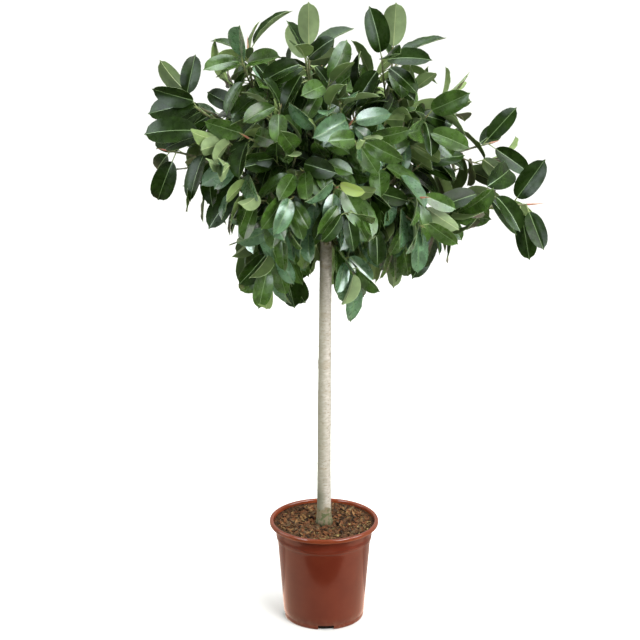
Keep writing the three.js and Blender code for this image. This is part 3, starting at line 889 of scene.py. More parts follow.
def blade_points(leaf, random):
    """The points of one blade, upper grid first."""
    size = leaf["size"]
    length, half = LEAF_LENGTH * size, LEAF_WIDTH * size / 2 * mix(*WIDTHS, random())
    arch = mix(*ARCHES, random())
    fold = mix(*FOLDS, random())
    curl = mix(*CURLS, random())
    wave, phase = mix(*WAVE_HEIGHTS, random()), math.tau * random()
    twist = mix(*TWISTS, random()) * (TIP_TWIST if leaf["from_table"] else 1)
    blade, face = np.array(leaf["blade"]), np.array(leaf["face"])
    side = np.cross(blade, face)
    base = np.array(leaf["seat"] + leaf["stalk"] * (STALK * size))
    angle = arch * station
    run = length * np.sin(angle) / arch
    fall = length * (1 - np.cos(angle)) / arch
    up = np.cos(angle)[:, None] * face + np.sin(angle)[:, None] * blade
    turn = twist * station[:, None]
    across = np.cos(turn) * side + np.sin(turn) * up
    up = np.cos(turn) * up - np.sin(turn) * side
    width = half * half_width
    offset = width[:, None] * column[None, :]
    rib = np.minimum(MIDRIB_HALF * (1 - MIDRIB_TAPER * station), MIDRIB_WIDEST * width)
    offset[:, RIB_LEFT], offset[:, RIB_RIGHT] = -rib, rib
    share = np.abs(offset) / half
    lift = np.abs(offset) * fold - curl * half * share**3
    ripple = np.sin(WAVES * math.tau * station + phase)[:, None]
    lift += wave * half * ripple * share**2 * np.sign(offset)
    spine = base + run[:, None] * blade - fall[:, None] * face
    top = spine[:, None, :] + offset[..., None] * across[:, None, :] + lift[..., None] * up[:, None, :]
    depth = np.full((ROWS, COLUMNS), BLADE_THICKNESS)
    rib_depth = MIDRIB_DEPTH * (1 - MIDRIB_THINNING * station) * np.minimum(1, half_width / MIDRIB_FADE)
    depth[:, RIB_LEFT:RIB_RIGHT + 1] += rib_depth[:, None]
    bottom = top - depth[..., None] * up[:, None, :]
    return np.concatenate([top.reshape(-1, 3), bottom.reshape(-1, 3)])


# %% The stalk
STALK_RADII = [2.1 * MM, 1.5 * MM, 1.4 * MM, 1.4 * MM, 1.1 * MM]
STALK_LEAD, STALK_DIP, STALK_BEND = 4 * MM, 1.2 * MM, 0.8


def stalk_bar(leaf):
    """The stalk from the shoot to the blade, thickest where it joins the shoot."""
    seat, stalk = leaf["seat"], leaf["stalk"]
    base = seat + stalk * (STALK * leaf["size"])
    lead = base + leaf["blade"] * STALK_LEAD
    bend = Bend(seat, seat + stalk * (STALK * STALK_BEND), lead - leaf["face"] * STALK_DIP)
    return bar(bend.points(len(STALK_RADII) - 1), STALK_RADII, 6)


# %% [markdown]
# Here and there a rubber fig throws a small bright leaf. One sits in the front of the head, a little
# right of the stem.

# %% The bright leaf
FRESH_SPOT = Vector((0.07, -0.36, 1.293))
FRESH_SIZE = 0.66
fresh = min(leaves, key=lambda leaf: (leaf["heart"] - FRESH_SPOT).length)
fresh["size"] *= FRESH_SIZE
print("the bright leaf is", round(LEAF_LENGTH * fresh["size"] / MM), "mm long")

# %% [markdown]
# Two streams choose a leaf's greens: one that all leaves of a shoot share, and one of the leaf's own.
# As painted shade, the leaves at the tips take the darkest greens, except for the underside of the
# leaders' youngest leaf, and the long shoots show the darker half of the undersides.

# %% The finishes of one leaf
SPRAY_KEY = 80
UPPER_PARTS, UNDER_PARTS = (0.72, 0.28), (0.6, 0.4)
LEADER_TIP_UNDER = 2


def leaf_tints(leaf, tier_name, random):
    """The number of the finish for each kind of face."""
    spray = stream(SEED, leaf["limb"].key, SPRAY_KEY + leaf["shoot_index"])
    deal = UPPER_DEAL_WITH_PAINTED_LIGHT[tier_name]
    upper = deal[int(len(deal) * (UPPER_PARTS[0] * spray() + UPPER_PARTS[1] * random()))]
    under = UNDER_DEAL[int(len(UNDER_DEAL) * (UNDER_PARTS[0] * spray() + UNDER_PARTS[1] * random()))]
    # Painted shade: the long shoots' undersides and the leaves at the tips get the darker greens.
    if tier_name == "reach":
        under = under // 2
    if leaf["from_table"]:
        upper, under = 0, LEADER_TIP_UNDER if leaf["age"] == 0 and tier_name == "leader" else 0
    if leaf is fresh:
        return [FRESH, FRESH, MIDRIB_BELOW, MIDRIB_BELOW, MARGIN]
    return [upper, len(uppers) + under, MIDRIB_ABOVE, MIDRIB_BELOW, MARGIN]


# %% Make the leaves, one piece a tier
LEAF_KEY = 50


def leaves_piece(tier_name):
    """All leaves of one tier as one piece."""
    pile, flags = Pile(), []
    for leaf in (leaf for leaf in leaves if leaf["limb"].tier["name"] == tier_name):
        random = stream(SEED, leaf["limb"].key, LEAF_KEY + leaf["shoot_index"], leaf["age"])
        tints = leaf_tints(leaf, tier_name, random)
        points = blade_points(leaf, random)
        pile.add([tuple(p) for p in points], blade_faces, [tints[kind] for kind in blade_kinds])
        flags.append(rim_flag)
        points, faces = stalk_bar(leaf)
        pile.add(points, faces, STALK_TINT)
        flags.append(np.zeros(len(points), int))
    piece = pile.make("leaves_" + tier_name, leaf_finishes)
    flags = np.concatenate(flags)
    ends = np.empty(2 * len(piece.data.edges), int)
    piece.data.edges.foreach_get("vertices", ends)
    first, second = flags[ends[0::2]], flags[ends[1::2]]
    piece.data.edges.foreach_set("use_edge_sharp", (first == second) & (first > 0))
    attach(piece, "root")
    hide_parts(*[f"foliage_{limb.name}" for limb in limbs if limb.tier["name"] == tier_name])
    return piece


for tier in TIERS:
    piece = leaves_piece(tier["name"])
    print(piece.name, triangles(piece), "triangles")

# %% [markdown]
# ## Twigs and buds
#
# The shoots are green-brown, with a ring at every old leaf and a pointed sheath over the bud at the
# tip. The sheath of a rubber fig is pink to red. Rings could be a bump in the finish, but they show
# against the sky, so the bar's radius swells at each node instead.

# %% Twig finishes
twig_finish = Finish("young_bark", base_color=(0.15, 0.16, 0.07), roughness=0.6)
patch = twig_finish.noise(60, detail=4).between(0.4, 0.62)
twig_finish.feed("Base Color", twig_finish.blend(patch, (0.115, 0.135, 0.05), (0.20, 0.185, 0.095)))
twig_finish.bump(twig_finish.noise(260, detail=4), 0.4 * MM, 0.6)
sheath_finish = Finish("bud_sheath", base_color=(0.42, 0.13, 0.09), roughness=0.42)
blush = sheath_finish.noise(70, detail=2).between(0.3, 0.7)
sheath_finish.feed("Base Color", sheath_finish.blend(blush, (0.44, 0.24, 0.13), (0.60, 0.20, 0.15)))
bud_finish = Finish("bud", base_color=(0.17, 0.20, 0.06), roughness=0.5)
flush = bud_finish.noise(90, detail=2).between(0.4, 0.7)
bud_finish.feed("Base Color", bud_finish.blend(flush, (0.16, 0.21, 0.06), (0.27, 0.17, 0.08)))
twig_finishes = [twig_finish, sheath_finish, bud_finish]
TWIG, SHEATH, BUD = range(len(twig_finishes))
print(len(twig_finishes), "twig finishes")

# %% Twigs as ringed bars
RING_SWELL = 0.6 * MM
PIECES_A_NODE, LEAST_PIECES = 5, 6
SHEATH_LENGTH, SIDE_BUD_SHARE, SHEATH_LEAN = 44 * MM, 0.36, 0.16
SHEATH_LENGTHS = (0.7, 1.05)
SHEATH_SHAPE = (1.0, 1.12, 1.0, 0.78, 0.5, 0.24, 0.06)


def twig_points(shoot, spacing):
    """Places and radii along a shoot, with a swelling at each node."""
    pieces = max(LEAST_PIECES, int(shoot.length / spacing * PIECES_A_NODE))
    shares = [i / pieces for i in range(pieces + 1)]
    radii = []
    for i, share in enumerate(shares):
        swell = RING_SWELL if i % PIECES_A_NODE == 0 else 0
        radii.append(mix(shoot.thick, shoot.thin, share) + swell)
    return [shoot.bend.point(share) for share in shares], radii


def sheath_points(shoot, random):
    """The pointed sheath over the bud, bent a little to one side."""
    tip, heading = shoot.bend.point(1), shoot.bend.heading(1)
    length = SHEATH_LENGTH * mix(*SHEATH_LENGTHS, random()) * (1 if shoot.rank == 0 else SIDE_BUD_SHARE)
    lean = shoot.normal * (SHEATH_LEAN * length * (random() * 2 - 1))
    bend = Bend(tip - heading * MM, tip + heading * (0.5 * length), tip + heading * length + lean)
    return bend.points(len(SHEATH_SHAPE) - 1), [shoot.thin * share for share in SHEATH_SHAPE]


# %% Make the twigs, one piece a tier
SHEATH_KEY = 3


def twigs_piece(tier_name):
    """All the shoots of one tier, with their sheaths, as one piece."""
    pile = Pile()
    for limb, grown in zip(limbs, shoots):
        if limb.tier["name"] != tier_name:
            continue
        random = stream(SEED, limb.key, SHEATH_KEY)
        spacing = node_spacing(limb.tier)
        for shoot in grown:
            sides, tip_tint = (8, SHEATH) if shoot.rank == 0 else (6, BUD)
            pile.add(*bar(*twig_points(shoot, spacing), sides), TWIG)
            pile.add(*bar(*sheath_points(shoot, random), 6), tip_tint)
    piece = pile.make("twigs_" + tier_name, twig_finishes)
    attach(piece, "root")
    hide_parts(*[f"foliage_{limb.name}" for limb in limbs if limb.tier["name"] == tier_name])
    return piece


for tier in TIERS:
    piece = twigs_piece(tier["name"])
    print(piece.name, triangles(piece), "triangles")

# %% [markdown]
# ## Stem and boughs
#
# The clean stem is smooth and pale, with faint rings left by old leaves, a few healed knots, a slight
# swelling about a third of the way up, one side painted darker as shade, and a green bloom of algae
# where it stands in the mulch. A displacement modifier on a cylinder could give the relief. Here the
# rings of the bar are moved in code, because each ring and knot then has a size that can be read.
#
# Its colours are laid one over the other: streaks along the wood, blotches, ring marks, specks, the
# painted shade on one side with a soil stain at its foot, the algae with its ragged upper edge, and the
# green of young bark towards the fork.

# %% Bark finish
bark_finish = Finish("bark", base_color=(0.52, 0.48, 0.38), roughness=0.75)
height = bark_finish.part(bark_finish.place(), "Z")
above_foot = height - trunk_foot
streak = bark_finish.grain(70, 70, 170, detail=5, roughness=0.62)
bark_colour = bark_finish.blend(streak.between(0.32, 0.68), (0.395, 0.355, 0.295), (0.565, 0.52, 0.465))
blotch = bark_finish.noise(28, detail=4).between(0.52, 0.72)
bark_colour = bark_finish.blend(blotch * 0.6, bark_colour, (0.40, 0.36, 0.28))
ring_mark = bark_finish.grain(9, 9, 36).between(0.56, 0.66)
bark_colour = bark_finish.blend(ring_mark * 0.5, bark_colour, (0.34, 0.27, 0.18))
speck = bark_finish.grain(120, 120, 260).between(0.57, 0.66)
bark_colour = bark_finish.blend(speck * 0.65, bark_colour, (0.22, 0.165, 0.10))
# Painted shade: the stem's -x side is painted darker. Near the foot, a soil stain is laid on that shaded
# side only.
sideways = bark_finish.part(bark_finish.place(), "X")
painted_shade_side = (bark_finish.noise(30, detail=3) * 0.022 - sideways).between(-0.002, 0.026)
bark_colour = bark_finish.blend(painted_shade_side * 0.8, bark_colour, (0.26, 0.245, 0.175))
foot_stain_and_shade = painted_shade_side * (1 - above_foot.between(0.07, 0.12))
bark_colour = bark_finish.blend(foot_stain_and_shade * 0.75, bark_colour, (0.10, 0.105, 0.055))
ragged = above_foot + bark_finish.noise(60, detail=4) * 0.05
algae = (1 - ragged.between(0.060, 0.070)) * bark_finish.noise(85, detail=4).between(0.14, 0.44)
moss = bark_finish.noise(120, detail=4).between(0.48, 0.62)
algae_colour = bark_finish.blend(moss, (0.175, 0.135, 0.070), (0.072, 0.088, 0.020))
bark_colour = bark_finish.blend(algae, bark_colour, algae_colour)
young = height.between(trunk_top - 0.11, trunk_top)
bark_colour = bark_finish.blend(young * 0.75, bark_colour, (0.20, 0.19, 0.11))
bark_finish.feed("Base Color", bark_colour)
bark_finish.bump(streak + bark_finish.noise(300, detail=4) * 0.5, 0.8 * MM, 0.7)
print("bark finish has", len(bark_finish.tree.nodes), "nodes")

# %% Rings and knots of the stem
STEM_KEY = 900
FIRST_SCAR, SCAR_SIZES, SCAR_STEPS = 30 * MM, (0.25, 0.75), (16, 38)
KNOT_COUNT, KNOTS_ABOVE_FOOT, KNOTS_BELOW_TOP = 16, 60 * MM, 150 * MM
KNOT_WIDTHS, KNOT_HEIGHTS = (4, 8), (0.8, 1.8)
random = stream(SEED, STEM_KEY)
scars = []
level = trunk_foot + FIRST_SCAR
while level < trunk_top:
    scars.append((level, mix(*SCAR_SIZES, random()) * MM, math.tau * random()))
    level += mix(*SCAR_STEPS, random()) * MM
knots = []
for _ in range(KNOT_COUNT):
    level = mix(trunk_foot + KNOTS_ABOVE_FOOT, trunk_top - KNOTS_BELOW_TOP, random())
    side = math.tau * random()
    knots.append((level, side, mix(*KNOT_WIDTHS, random()) * MM, mix(*KNOT_HEIGHTS, random()) * MM))
print(len(scars), "rings and", len(knots), "knots")

# %% Stem
FOOT_RADIUS, CLEAR_RADIUS, TOP_RADIUS = 24 * MM, 19 * MM, 15 * MM
FLARE_HEIGHT, FLARE_FALL, FLARE_ROUND, FLARE_LOBED, LOBES, LOBE_TURN = 45 * MM, 3, 0.86, 0.14, 3, 0.6
STEM_SIDES, STEM_RINGS = 40, 400
SWELL_HEIGHT, SWELL_REACH, SWELL = 0.62, 0.045, 1.0 * MM
LUMP_ROUND, LUMP_UP, LUMP_SCALE, LUMP = 9, 22, 0.35, 0.55 * MM
SCAR_REACH, SCAR_HALF, SCAR_ROUND, SCAR_SIDED = 6 * MM, 1.7 * MM, 0.65, 0.35
KNOT_REACH = 3
BURIED = 14 * MM


def stem_radius(height, angle):
    """Radius of the stem at a height and an angle round it."""
    share = (height - trunk_foot) / (trunk_top - trunk_foot)
    radius = mix(CLEAR_RADIUS, TOP_RADIUS, share)
    above = max(0, height - trunk_foot)
    flare = (FOOT_RADIUS - CLEAR_RADIUS) * math.exp(-FLARE_FALL * above / FLARE_HEIGHT)
    radius += flare * (FLARE_ROUND + FLARE_LOBED * math.cos(LOBES * angle + LOBE_TURN))
    radius += SWELL * math.exp(-(((height - SWELL_HEIGHT) / SWELL_REACH) ** 2))
    around = Vector((LUMP_ROUND * math.cos(angle), LUMP_ROUND * math.sin(angle), LUMP_UP * height))
    radius += LUMP * noise.noise(around * LUMP_SCALE)
    for level, size, side in scars:
        if abs(height - level) < SCAR_REACH:
            ring = math.exp(-(((height - level) / SCAR_HALF) ** 2))
            radius += size * ring * (SCAR_ROUND + SCAR_SIDED * math.cos(angle - side))
    for level, side, wide, high in knots:
        if abs(height - level) < KNOT_REACH * wide:
            across = radius * ((angle - side + math.pi) % math.tau - math.pi)
            radius += high * math.exp(-((height - level) ** 2 + across**2) / wide**2)
    return radius


stem_points = []
for ring in range(STEM_RINGS + 1):
    centre = trunk_bend.point(ring / STEM_RINGS)
    if ring == 0:
        centre.z -= BURIED
    for k in range(STEM_SIDES):
        angle = math.tau * k / STEM_SIDES
        radius = stem_radius(centre.z, angle)
        stem_points.append((centre.x + radius * math.cos(angle), radius * math.sin(angle), centre.z))
stem_faces = bar(trunk_bend.points(STEM_RINGS), [1] * (STEM_RINGS + 1), STEM_SIDES)[1]
stem = Pile()
stem.add(stem_points, stem_faces)
stem = stem.make("stem", [bark_finish])
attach(stem, "root")
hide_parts("trunk")
print("stem", triangles(stem), "triangles")

# %% [markdown]
# A bough swells where it joins the stem, and its own rings stand close together.

# %% Boughs
BOUGH_RINGS, BOUGH_SIDES = 36, 14
BOUGH_KEY = 4
COLLAR_SWELL, COLLAR_FADE = 4 * MM, 9
BOUGH_RING, RINGS_APART, BOUGH_UNEVEN = 0.5 * MM, 4, 0.35 * MM
bough_finish = Finish("bough_bark", base_color=(0.28, 0.26, 0.16), roughness=0.7)
cloud = bough_finish.noise(70, detail=5).between(0.38, 0.64)
bough_finish.feed("Base Color", bough_finish.blend(cloud, (0.17, 0.165, 0.085), (0.33, 0.30, 0.19)))
bough_finish.bump(bough_finish.noise(240, detail=4), 0.6 * MM, 0.7)

boughs = Pile()
for limb in limbs:
    random = stream(SEED, limb.key, BOUGH_KEY)
    radii = []
    for ring in range(BOUGH_RINGS + 1):
        share = ring / BOUGH_RINGS
        radius = mix(BOUGH_RADIUS, STEM_RADIUS, share) + COLLAR_SWELL * math.exp(-share * COLLAR_FADE)
        radius += (BOUGH_RING if ring % RINGS_APART == 0 else 0) + BOUGH_UNEVEN * (random() - 0.5)
        radii.append(radius)
    boughs.add(*bar(limb.bough.points(BOUGH_RINGS), radii, BOUGH_SIDES))
boughs = boughs.make("boughs", [bough_finish])
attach(boughs, "root")
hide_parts(*[f"bough_{limb.name}" for limb in limbs])
print("boughs", triangles(boughs), "triangles")

# %% [markdown]
# ## The nursery pot
#
# The pot is moulded from thin plastic: a rolled lip that stands out over an undercut, a flared collar
# with two fine lines round it, a plain tapering body, a crease above the foot, and four drain notches
# in the foot. Blender's Spin tool could turn a drawn line into the wall. A list of points turned in
# code does the same, and each radius and height in it keeps a name. The lip and the foot are arcs.

# %% Sizes of the pot
POT_SIDES = 160
LIP_RADIUS, LIP_HEIGHT, LIP_WIDTH, LIP_ROUND = pot_high.x, 12 * MM, 11 * MM, 4.2 * MM
LIP_FOOT = pot_high.z - LIP_HEIGHT
COLLAR_RADIUS, COLLAR_TOP, COLLAR_FOOT = 133.5 * MM, 258 * MM, 233 * MM
BODY_RADIUS, FOOT_RING_RADIUS, FOOT_ROUND = 128.5 * MM, 110.5 * MM, 4 * MM
FOOT_RING_HEIGHT, CREASE = 13 * MM, 0.5 * MM
WALL, FLOOR = 2.5 * MM, 3 * MM
BEAD_HEIGHT, BEAD = 241.5 * MM, 0.8 * MM
WALL_LEVELS = (30, 60, 95, 130, 165, 200, 222, 229)
print("the lip is", round(2 * LIP_RADIUS / MM, 1), "mm across")


# %% Stretches of the profile
def arc(radius_at, height_at, start, end, steps, round_radius=LIP_ROUND):
    """Points of an arc in the profile's plane, angles in degrees from the +radius direction."""
    angles = [math.radians(mix(start, end, i / steps)) for i in range(steps + 1)]
    return [(radius_at + round_radius * math.cos(angle), height_at + round_radius * math.sin(angle))
            for angle in angles]


def beside(radius, height, *steps):
    """Points that stand off a radius and a height by steps across and up, in millimetres."""
    return [(radius + across * MM, height + up * MM) for across, up in steps]


def wall_radius(height):
    """Outer radius of the tapering body at a height."""
    return mix(FOOT_RING_RADIUS, BODY_RADIUS, (height - FOOT_ROUND) / (COLLAR_FOOT - FOOT_ROUND))


# %% Profile of the pot
def outside_profile():
    """From the middle of the underside up to the foot of the lip."""
    ring_top = wall_radius(FOOT_RING_HEIGHT)
    bead_radius = COLLAR_RADIUS - 2 * MM + BEAD
    profile = [(0, 0)]
    profile += arc(FOOT_RING_RADIUS - FOOT_ROUND, FOOT_ROUND, -90, -8, 8, FOOT_ROUND)
    profile += beside(ring_top, FOOT_RING_HEIGHT, (0, -1.2))
    profile += [(ring_top - CREASE, FOOT_RING_HEIGHT)]
    profile += beside(ring_top, FOOT_RING_HEIGHT, (0.2, 1.2))
    profile += [(wall_radius(level * MM), level * MM) for level in WALL_LEVELS]
    profile += beside(BODY_RADIUS, COLLAR_FOOT, (0.2, -2))
    profile += beside(COLLAR_RADIUS, COLLAR_FOOT, (-2.6, -0.4), (-2.2, 0.8))
    profile += beside(COLLAR_RADIUS, BEAD_HEIGHT, (-2.2, -2))
    profile += beside(bead_radius, BEAD_HEIGHT, (0, -0.8), (0, 0))
    profile += beside(COLLAR_RADIUS, BEAD_HEIGHT, (-1.8, 1.4))
    profile += beside(COLLAR_RADIUS, COLLAR_TOP, (-1.2, -3), (-0.8, 0))
    return profile + beside(COLLAR_RADIUS, LIP_FOOT, (-0.6, -5), (-0.6, -1), (0.4, -0.2))


def inside_profile():
    """From under the lip down to the middle of the floor."""
    profile = beside(LIP_RADIUS - LIP_WIDTH, LIP_FOOT, (-1, 2.6))
    profile += beside(COLLAR_RADIUS, LIP_FOOT, (1.6, 1), (-1.8, -1.4))
    profile += [(COLLAR_RADIUS - WALL, COLLAR_TOP), (COLLAR_RADIUS - 2 * MM - WALL, COLLAR_FOOT)]
    profile += beside(BODY_RADIUS - WALL, COLLAR_FOOT, (0, -3))
    return profile + [*beside(FOOT_RING_RADIUS - WALL, FLOOR, (0, 2), (-2, 0)), (0, FLOOR)]


def pot_profile():
    """The pot's section: up the outside, over the lip and down the inside."""
    top = pot_high.z - LIP_ROUND
    outer, inner = LIP_RADIUS - LIP_ROUND, LIP_RADIUS - LIP_WIDTH + LIP_ROUND
    lip = beside(LIP_RADIUS, LIP_FOOT, (-6, -0.2))
    lip += arc(outer, LIP_FOOT + LIP_ROUND - 1 * MM, -80, 0, 5)
    lip += arc(outer, top, 0, 90, 6)
    lip += arc(inner, top, 90, 180, 6)
    return outside_profile() + lip + inside_profile()


def turned(profile, sides):
    """A closed shape of revolution whose profile starts and ends on the axis."""
    points, faces = [(0, 0, profile[0][1])], []
    for radius, height in profile[1:-1]:
        points += circle(radius, height, sides)
    points.append((0, 0, profile[-1][1]))
    last = len(points) - 1
    for k in range(sides):
        following = (k + 1) % sides
        faces.append((0, 1 + following, 1 + k))
        faces.append((last - sides + k, last - sides + following, last))
        for ring in range(len(profile) - 3):
            low = 1 + ring * sides
            faces.append((low + k, low + following, low + sides + following, low + sides + k))
    return points, faces


print("the profile has", len(pot_profile()), "points")

# %% [markdown]
# Thin moulded plastic is glossy and a little uneven, and its lip is painted paler, as painted light on
# the rim. Faint scuffs run round it where pots have stood inside each other, and dust gathers near the
# foot. A picture of worn plastic could be wrapped round it, but its seam would show, and noise drawn out
# round the axis gives the same scuffs from every side.

# %% Plastic finish
LIP_LIGHT_FROM, LIP_LIGHT_TO = 13.5 * MM, 11.5 * MM
plastic = Finish("pot_plastic", base_color=(0.14, 0.025, 0.011), roughness=0.3, ior=1.44)
height = plastic.part(plastic.place(), "Z")
scuff = plastic.grain(16, 16, 190, detail=5, roughness=0.6)
cloud = plastic.noise(14, detail=4)
plastic_colour = plastic.blend(cloud.between(0.3, 0.7), (0.120, 0.0172, 0.0073), (0.145, 0.0230, 0.0102))
# Painted light: the top 11.5 mm of the pot, which takes in the lip and the top of the inner wall, is
# painted paler, fading in over 2 mm below.
lip_painted_light = height.between(pot_high.z - LIP_LIGHT_FROM, pot_high.z - LIP_LIGHT_TO)
plastic_colour = plastic.blend(lip_painted_light, plastic_colour, (0.205, 0.040, 0.014))
dust = (1 - height.between(4 * MM, 40 * MM)) * plastic.noise(55, detail=5).between(0.42, 0.7)
plastic_colour = plastic.blend(dust * 0.35, plastic_colour, (0.24, 0.10, 0.06))
plastic.feed("Base Color", plastic_colour)
plastic.feed("Roughness", scuff * 0.015 + cloud * 0.06 + 0.10)
plastic.bump(plastic.noise(130, detail=3), 0.1 * MM, 0.4)
print("plastic finish has", len(plastic.tree.nodes), "nodes")

# %% [markdown]
# The notches are cut with a Boolean modifier, since a hole through a turned wall is what a list of
# rings can't give. The cutters are four boxes, and they are deleted once the cut is made.

# %% Turn the pot
pot = Pile()
pot.add(*turned(pot_profile(), POT_SIDES))
pot = pot.make("nursery_pot", [plastic])
print("uncut pot", triangles(pot), "triangles")

# %% Cutters for the drain notches
DRAIN_COUNT, DRAIN_TURN = 4, -87
DRAIN_WIDTH, DRAIN_DEPTH = 44 * MM, 17 * MM
DRAIN_LEVELS = (-2 * MM, 12.5 * MM)
BOX_FACES = [(0, 1, 3, 2), (4, 6, 7, 5), (0, 4, 5, 1), (2, 3, 7, 6), (0, 2, 6, 4), (1, 5, 7, 3)]
cutters = Pile()
for i in range(DRAIN_COUNT):
    turn = Matrix.Rotation(math.radians(DRAIN_TURN + 360 * i / DRAIN_COUNT), 4, "Z")
    corners = [turn @ Vector((FOOT_RING_RADIUS + x * DRAIN_DEPTH, y * DRAIN_WIDTH / 2, level))
               for x in (-1, 1) for y in (-1, 1) for level in DRAIN_LEVELS]
    cutters.add([tuple(corner) for corner in corners], BOX_FACES)
cutters = cutters.make("drain_cutters", [plastic], smooth=False)
print(DRAIN_COUNT, "drain notches,", round(DRAIN_LEVELS[1] / MM, 1), "mm high")

# %% Cut the notches
SHARP_FROM = 38
cut = pot.modifiers.new("drains", "BOOLEAN")
cut.operation, cut.object, cut.solver = "DIFFERENCE", cutters, "EXACT"
evaluated = pot.evaluated_get(bpy.context.evaluated_depsgraph_get())
cut_mesh = bpy.data.meshes.new_from_object(evaluated)
pot.modifiers.clear()
pot.data = cut_mesh
bpy.data.objects.remove(cutters)
pot.data.set_sharp_from_angle(angle=math.radians(SHARP_FROM))
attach(pot, "root")
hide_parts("pot")
print("pot", triangles(pot), "triangles")

# %% [markdown]
# ## Bark mulch
#
# The pot is topped with composted bark: flat chips of many sizes, dark crumbs between them and a few
# pale fibres. A noisy surface alone reads as soil, and a picture would need an image. So a rough
# filling is made first, and chips are strewn over it as thin irregular slabs, each tilted to lie on it,
# in a few plain browns.

# %% Mulch finishes
compost = Finish("compost", base_color=(0.045, 0.026, 0.017), roughness=0.95, specular_ior_level=0.12)
crumb = compost.noise(190, detail=6, roughness=0.65)
compost_colour = compost.blend(crumb.between(0.35, 0.68), (0.016, 0.008, 0.004), (0.105, 0.048, 0.020))
# Painted shade: the filling darkens to near black below 60 mm and is fully near black below 20 mm, where
# it is seen only through the notches.
deep = 1 - compost.part(compost.place(), "Z").between(20 * MM, 60 * MM)
compost.feed("Base Color", compost.blend(deep, compost_colour, (0.006, 0.004, 0.003)))
compost.bump(crumb, 2 * MM, 1.0)
CHIP_BROWNS = dict(red=(0.200, 0.074, 0.026), brown=(0.125, 0.058, 0.024), dark=(0.030, 0.014, 0.006),
                   tan=(0.330, 0.175, 0.068), straw=(0.56, 0.42, 0.16), grey=(0.150, 0.090, 0.042))
RED, BROWN, DARK, TAN, STRAW, GREY = range(len(CHIP_BROWNS))


def chip_finish(name, brown):
    """Rough bark in one brown, with a grain along the chip."""
    finish = Finish("bark_chip_" + name, base_color=brown, roughness=0.88, specular_ior_level=0.2)
    fibre = finish.grain(160, 420, 300)
    darker = tuple(c * 0.62 for c in brown)
    finish.feed("Base Color", finish.blend(fibre.between(0.34, 0.66), darker, brown))
    return finish.bump(fibre, 0.8 * MM, 0.8)


chip_finishes = [chip_finish(name, brown) for name, brown in CHIP_BROWNS.items()]
print(len(chip_finishes), "chip finishes")

# %% [markdown]
# The filling is a nearly flat mound with lumps. Its side follows the inside of the pot all the way
# down: it banks up to the wall under the lip, so that no ring of bare plastic shows there, and closes
# the view through the notches.

# %% The filling
MOUND_RINGS, MOUND_SIDES = 46, 150
SOIL_EDGE, SOIL_CENTRE, SOIL_SINK = 276 * MM, 272.5 * MM, 2.6 * MM
FLAT_RADIUS, DISH = 30 * MM, 1.2
LUMPS = ((38, 3, 3.6), (120, 7, 2.2))
soil_radius = soil_high.x - 0.6 * MM
mound_side = beside(COLLAR_RADIUS, LIP_FOOT, (3.8, 3.2), (1.3, 1.3), (-2.8, -3))
mound_side += beside(COLLAR_RADIUS - WALL, COLLAR_TOP, (-0.6, 0))
mound_side += beside(BODY_RADIUS, COLLAR_FOOT, (-3.3, -4))
mound_side += beside(FOOT_RING_RADIUS, 0, (-3.1, 6), (-4.1, 3.6))


def mound_height(x, y):
    """Height of the mulch, with lumps."""
    radius = math.hypot(x, y)
    share = min(1, max(0, (radius - FLAT_RADIUS) / (soil_radius - FLAT_RADIUS)))
    lumps = sum(noise.noise(Vector((x * fine, y * fine, layer))) * high for fine, layer, high in LUMPS)
    return mix(SOIL_CENTRE, SOIL_EDGE, share**DISH) - SOIL_SINK + lumps * MM


mound_points = [(0, 0, mound_height(0, 0))]
for ring in range(1, MOUND_RINGS + 1):
    for x, y, _ in circle(soil_radius * ring / MOUND_RINGS, 0, MOUND_SIDES):
        mound_points.append((x, y, mound_height(x, y)))
for radius, level in mound_side:
    mound_points += circle(radius, level, MOUND_SIDES)
mound_faces = []
for k in range(MOUND_SIDES):
    following = (k + 1) % MOUND_SIDES
    mound_faces.append((0, 1 + k, 1 + following))
    for ring in range(MOUND_RINGS + len(mound_side) - 1):
        low = 1 + ring * MOUND_SIDES
        high = low + MOUND_SIDES
        mound_faces.append((low + k, high + k, high + following, low + following))
mound_faces.append(tuple(reversed(range(len(mound_points) - MOUND_SIDES, len(mound_points)))))
mound = Pile()
mound.add(mound_points, mound_faces)
mound = mound.make("compost", [compost])
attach(mound, "root")
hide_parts("soil")
print("compost", triangles(mound), "triangles")

# %% [markdown]
# A chip is drawn as a slab of six corners, bowed a little. Most are small and a few are large, as they
# fall from a sieve. Every chip and fibre lies on the filling's own height, so none floats.

# %% One chip
CORNERS = 6
CHIP_LIFT, UNDERSIDE = 0.4 * MM, 0.92
STRETCHES = (0.7, 1.1)
CHIPS_KEY = 901
chips = Pile()
random = stream(SEED, CHIPS_KEY)


def chip(x, y, long, wide, thick, tilt, heading):
    """A thin irregular slab, lying on the mound."""
    corners = []
    for k in range(CORNERS):
        angle = math.tau * (k + 0.5 * (random() - 0.5)) / CORNERS
        stretch = mix(*STRETCHES, random())
        across, along = math.sin(angle) * wide / 2 * stretch, math.cos(angle) * long / 2 * stretch
        corners.append(Vector((along, across, 0)))
    turn = Matrix.Rotation(heading, 3, "Z") @ Matrix.Rotation(tilt, 3, "Y")
    turn = turn @ Matrix.Rotation(tilt * (random() * 2 - 1), 3, "X")
    place = Vector((x, y, mound_height(x, y) + thick * 0.5 + CHIP_LIFT))
    bow = 0.5 * thick * (random() * 2 - 1)
    top = [turn @ (c + Vector((0, 0, thick / 2 + bow * (c.x / long) ** 2 * 4))) + place for c in corners]
    bottom = [turn @ (c * UNDERSIDE - Vector((0, 0, thick / 2))) + place for c in corners]
    faces = [tuple(range(CORNERS)), tuple(reversed(range(CORNERS, 2 * CORNERS)))]
    for k in range(CORNERS):
        following = (k + 1) % CORNERS
        faces.append((k, CORNERS + k, CORNERS + following, following))
    return [tuple(p) for p in top + bottom], faces


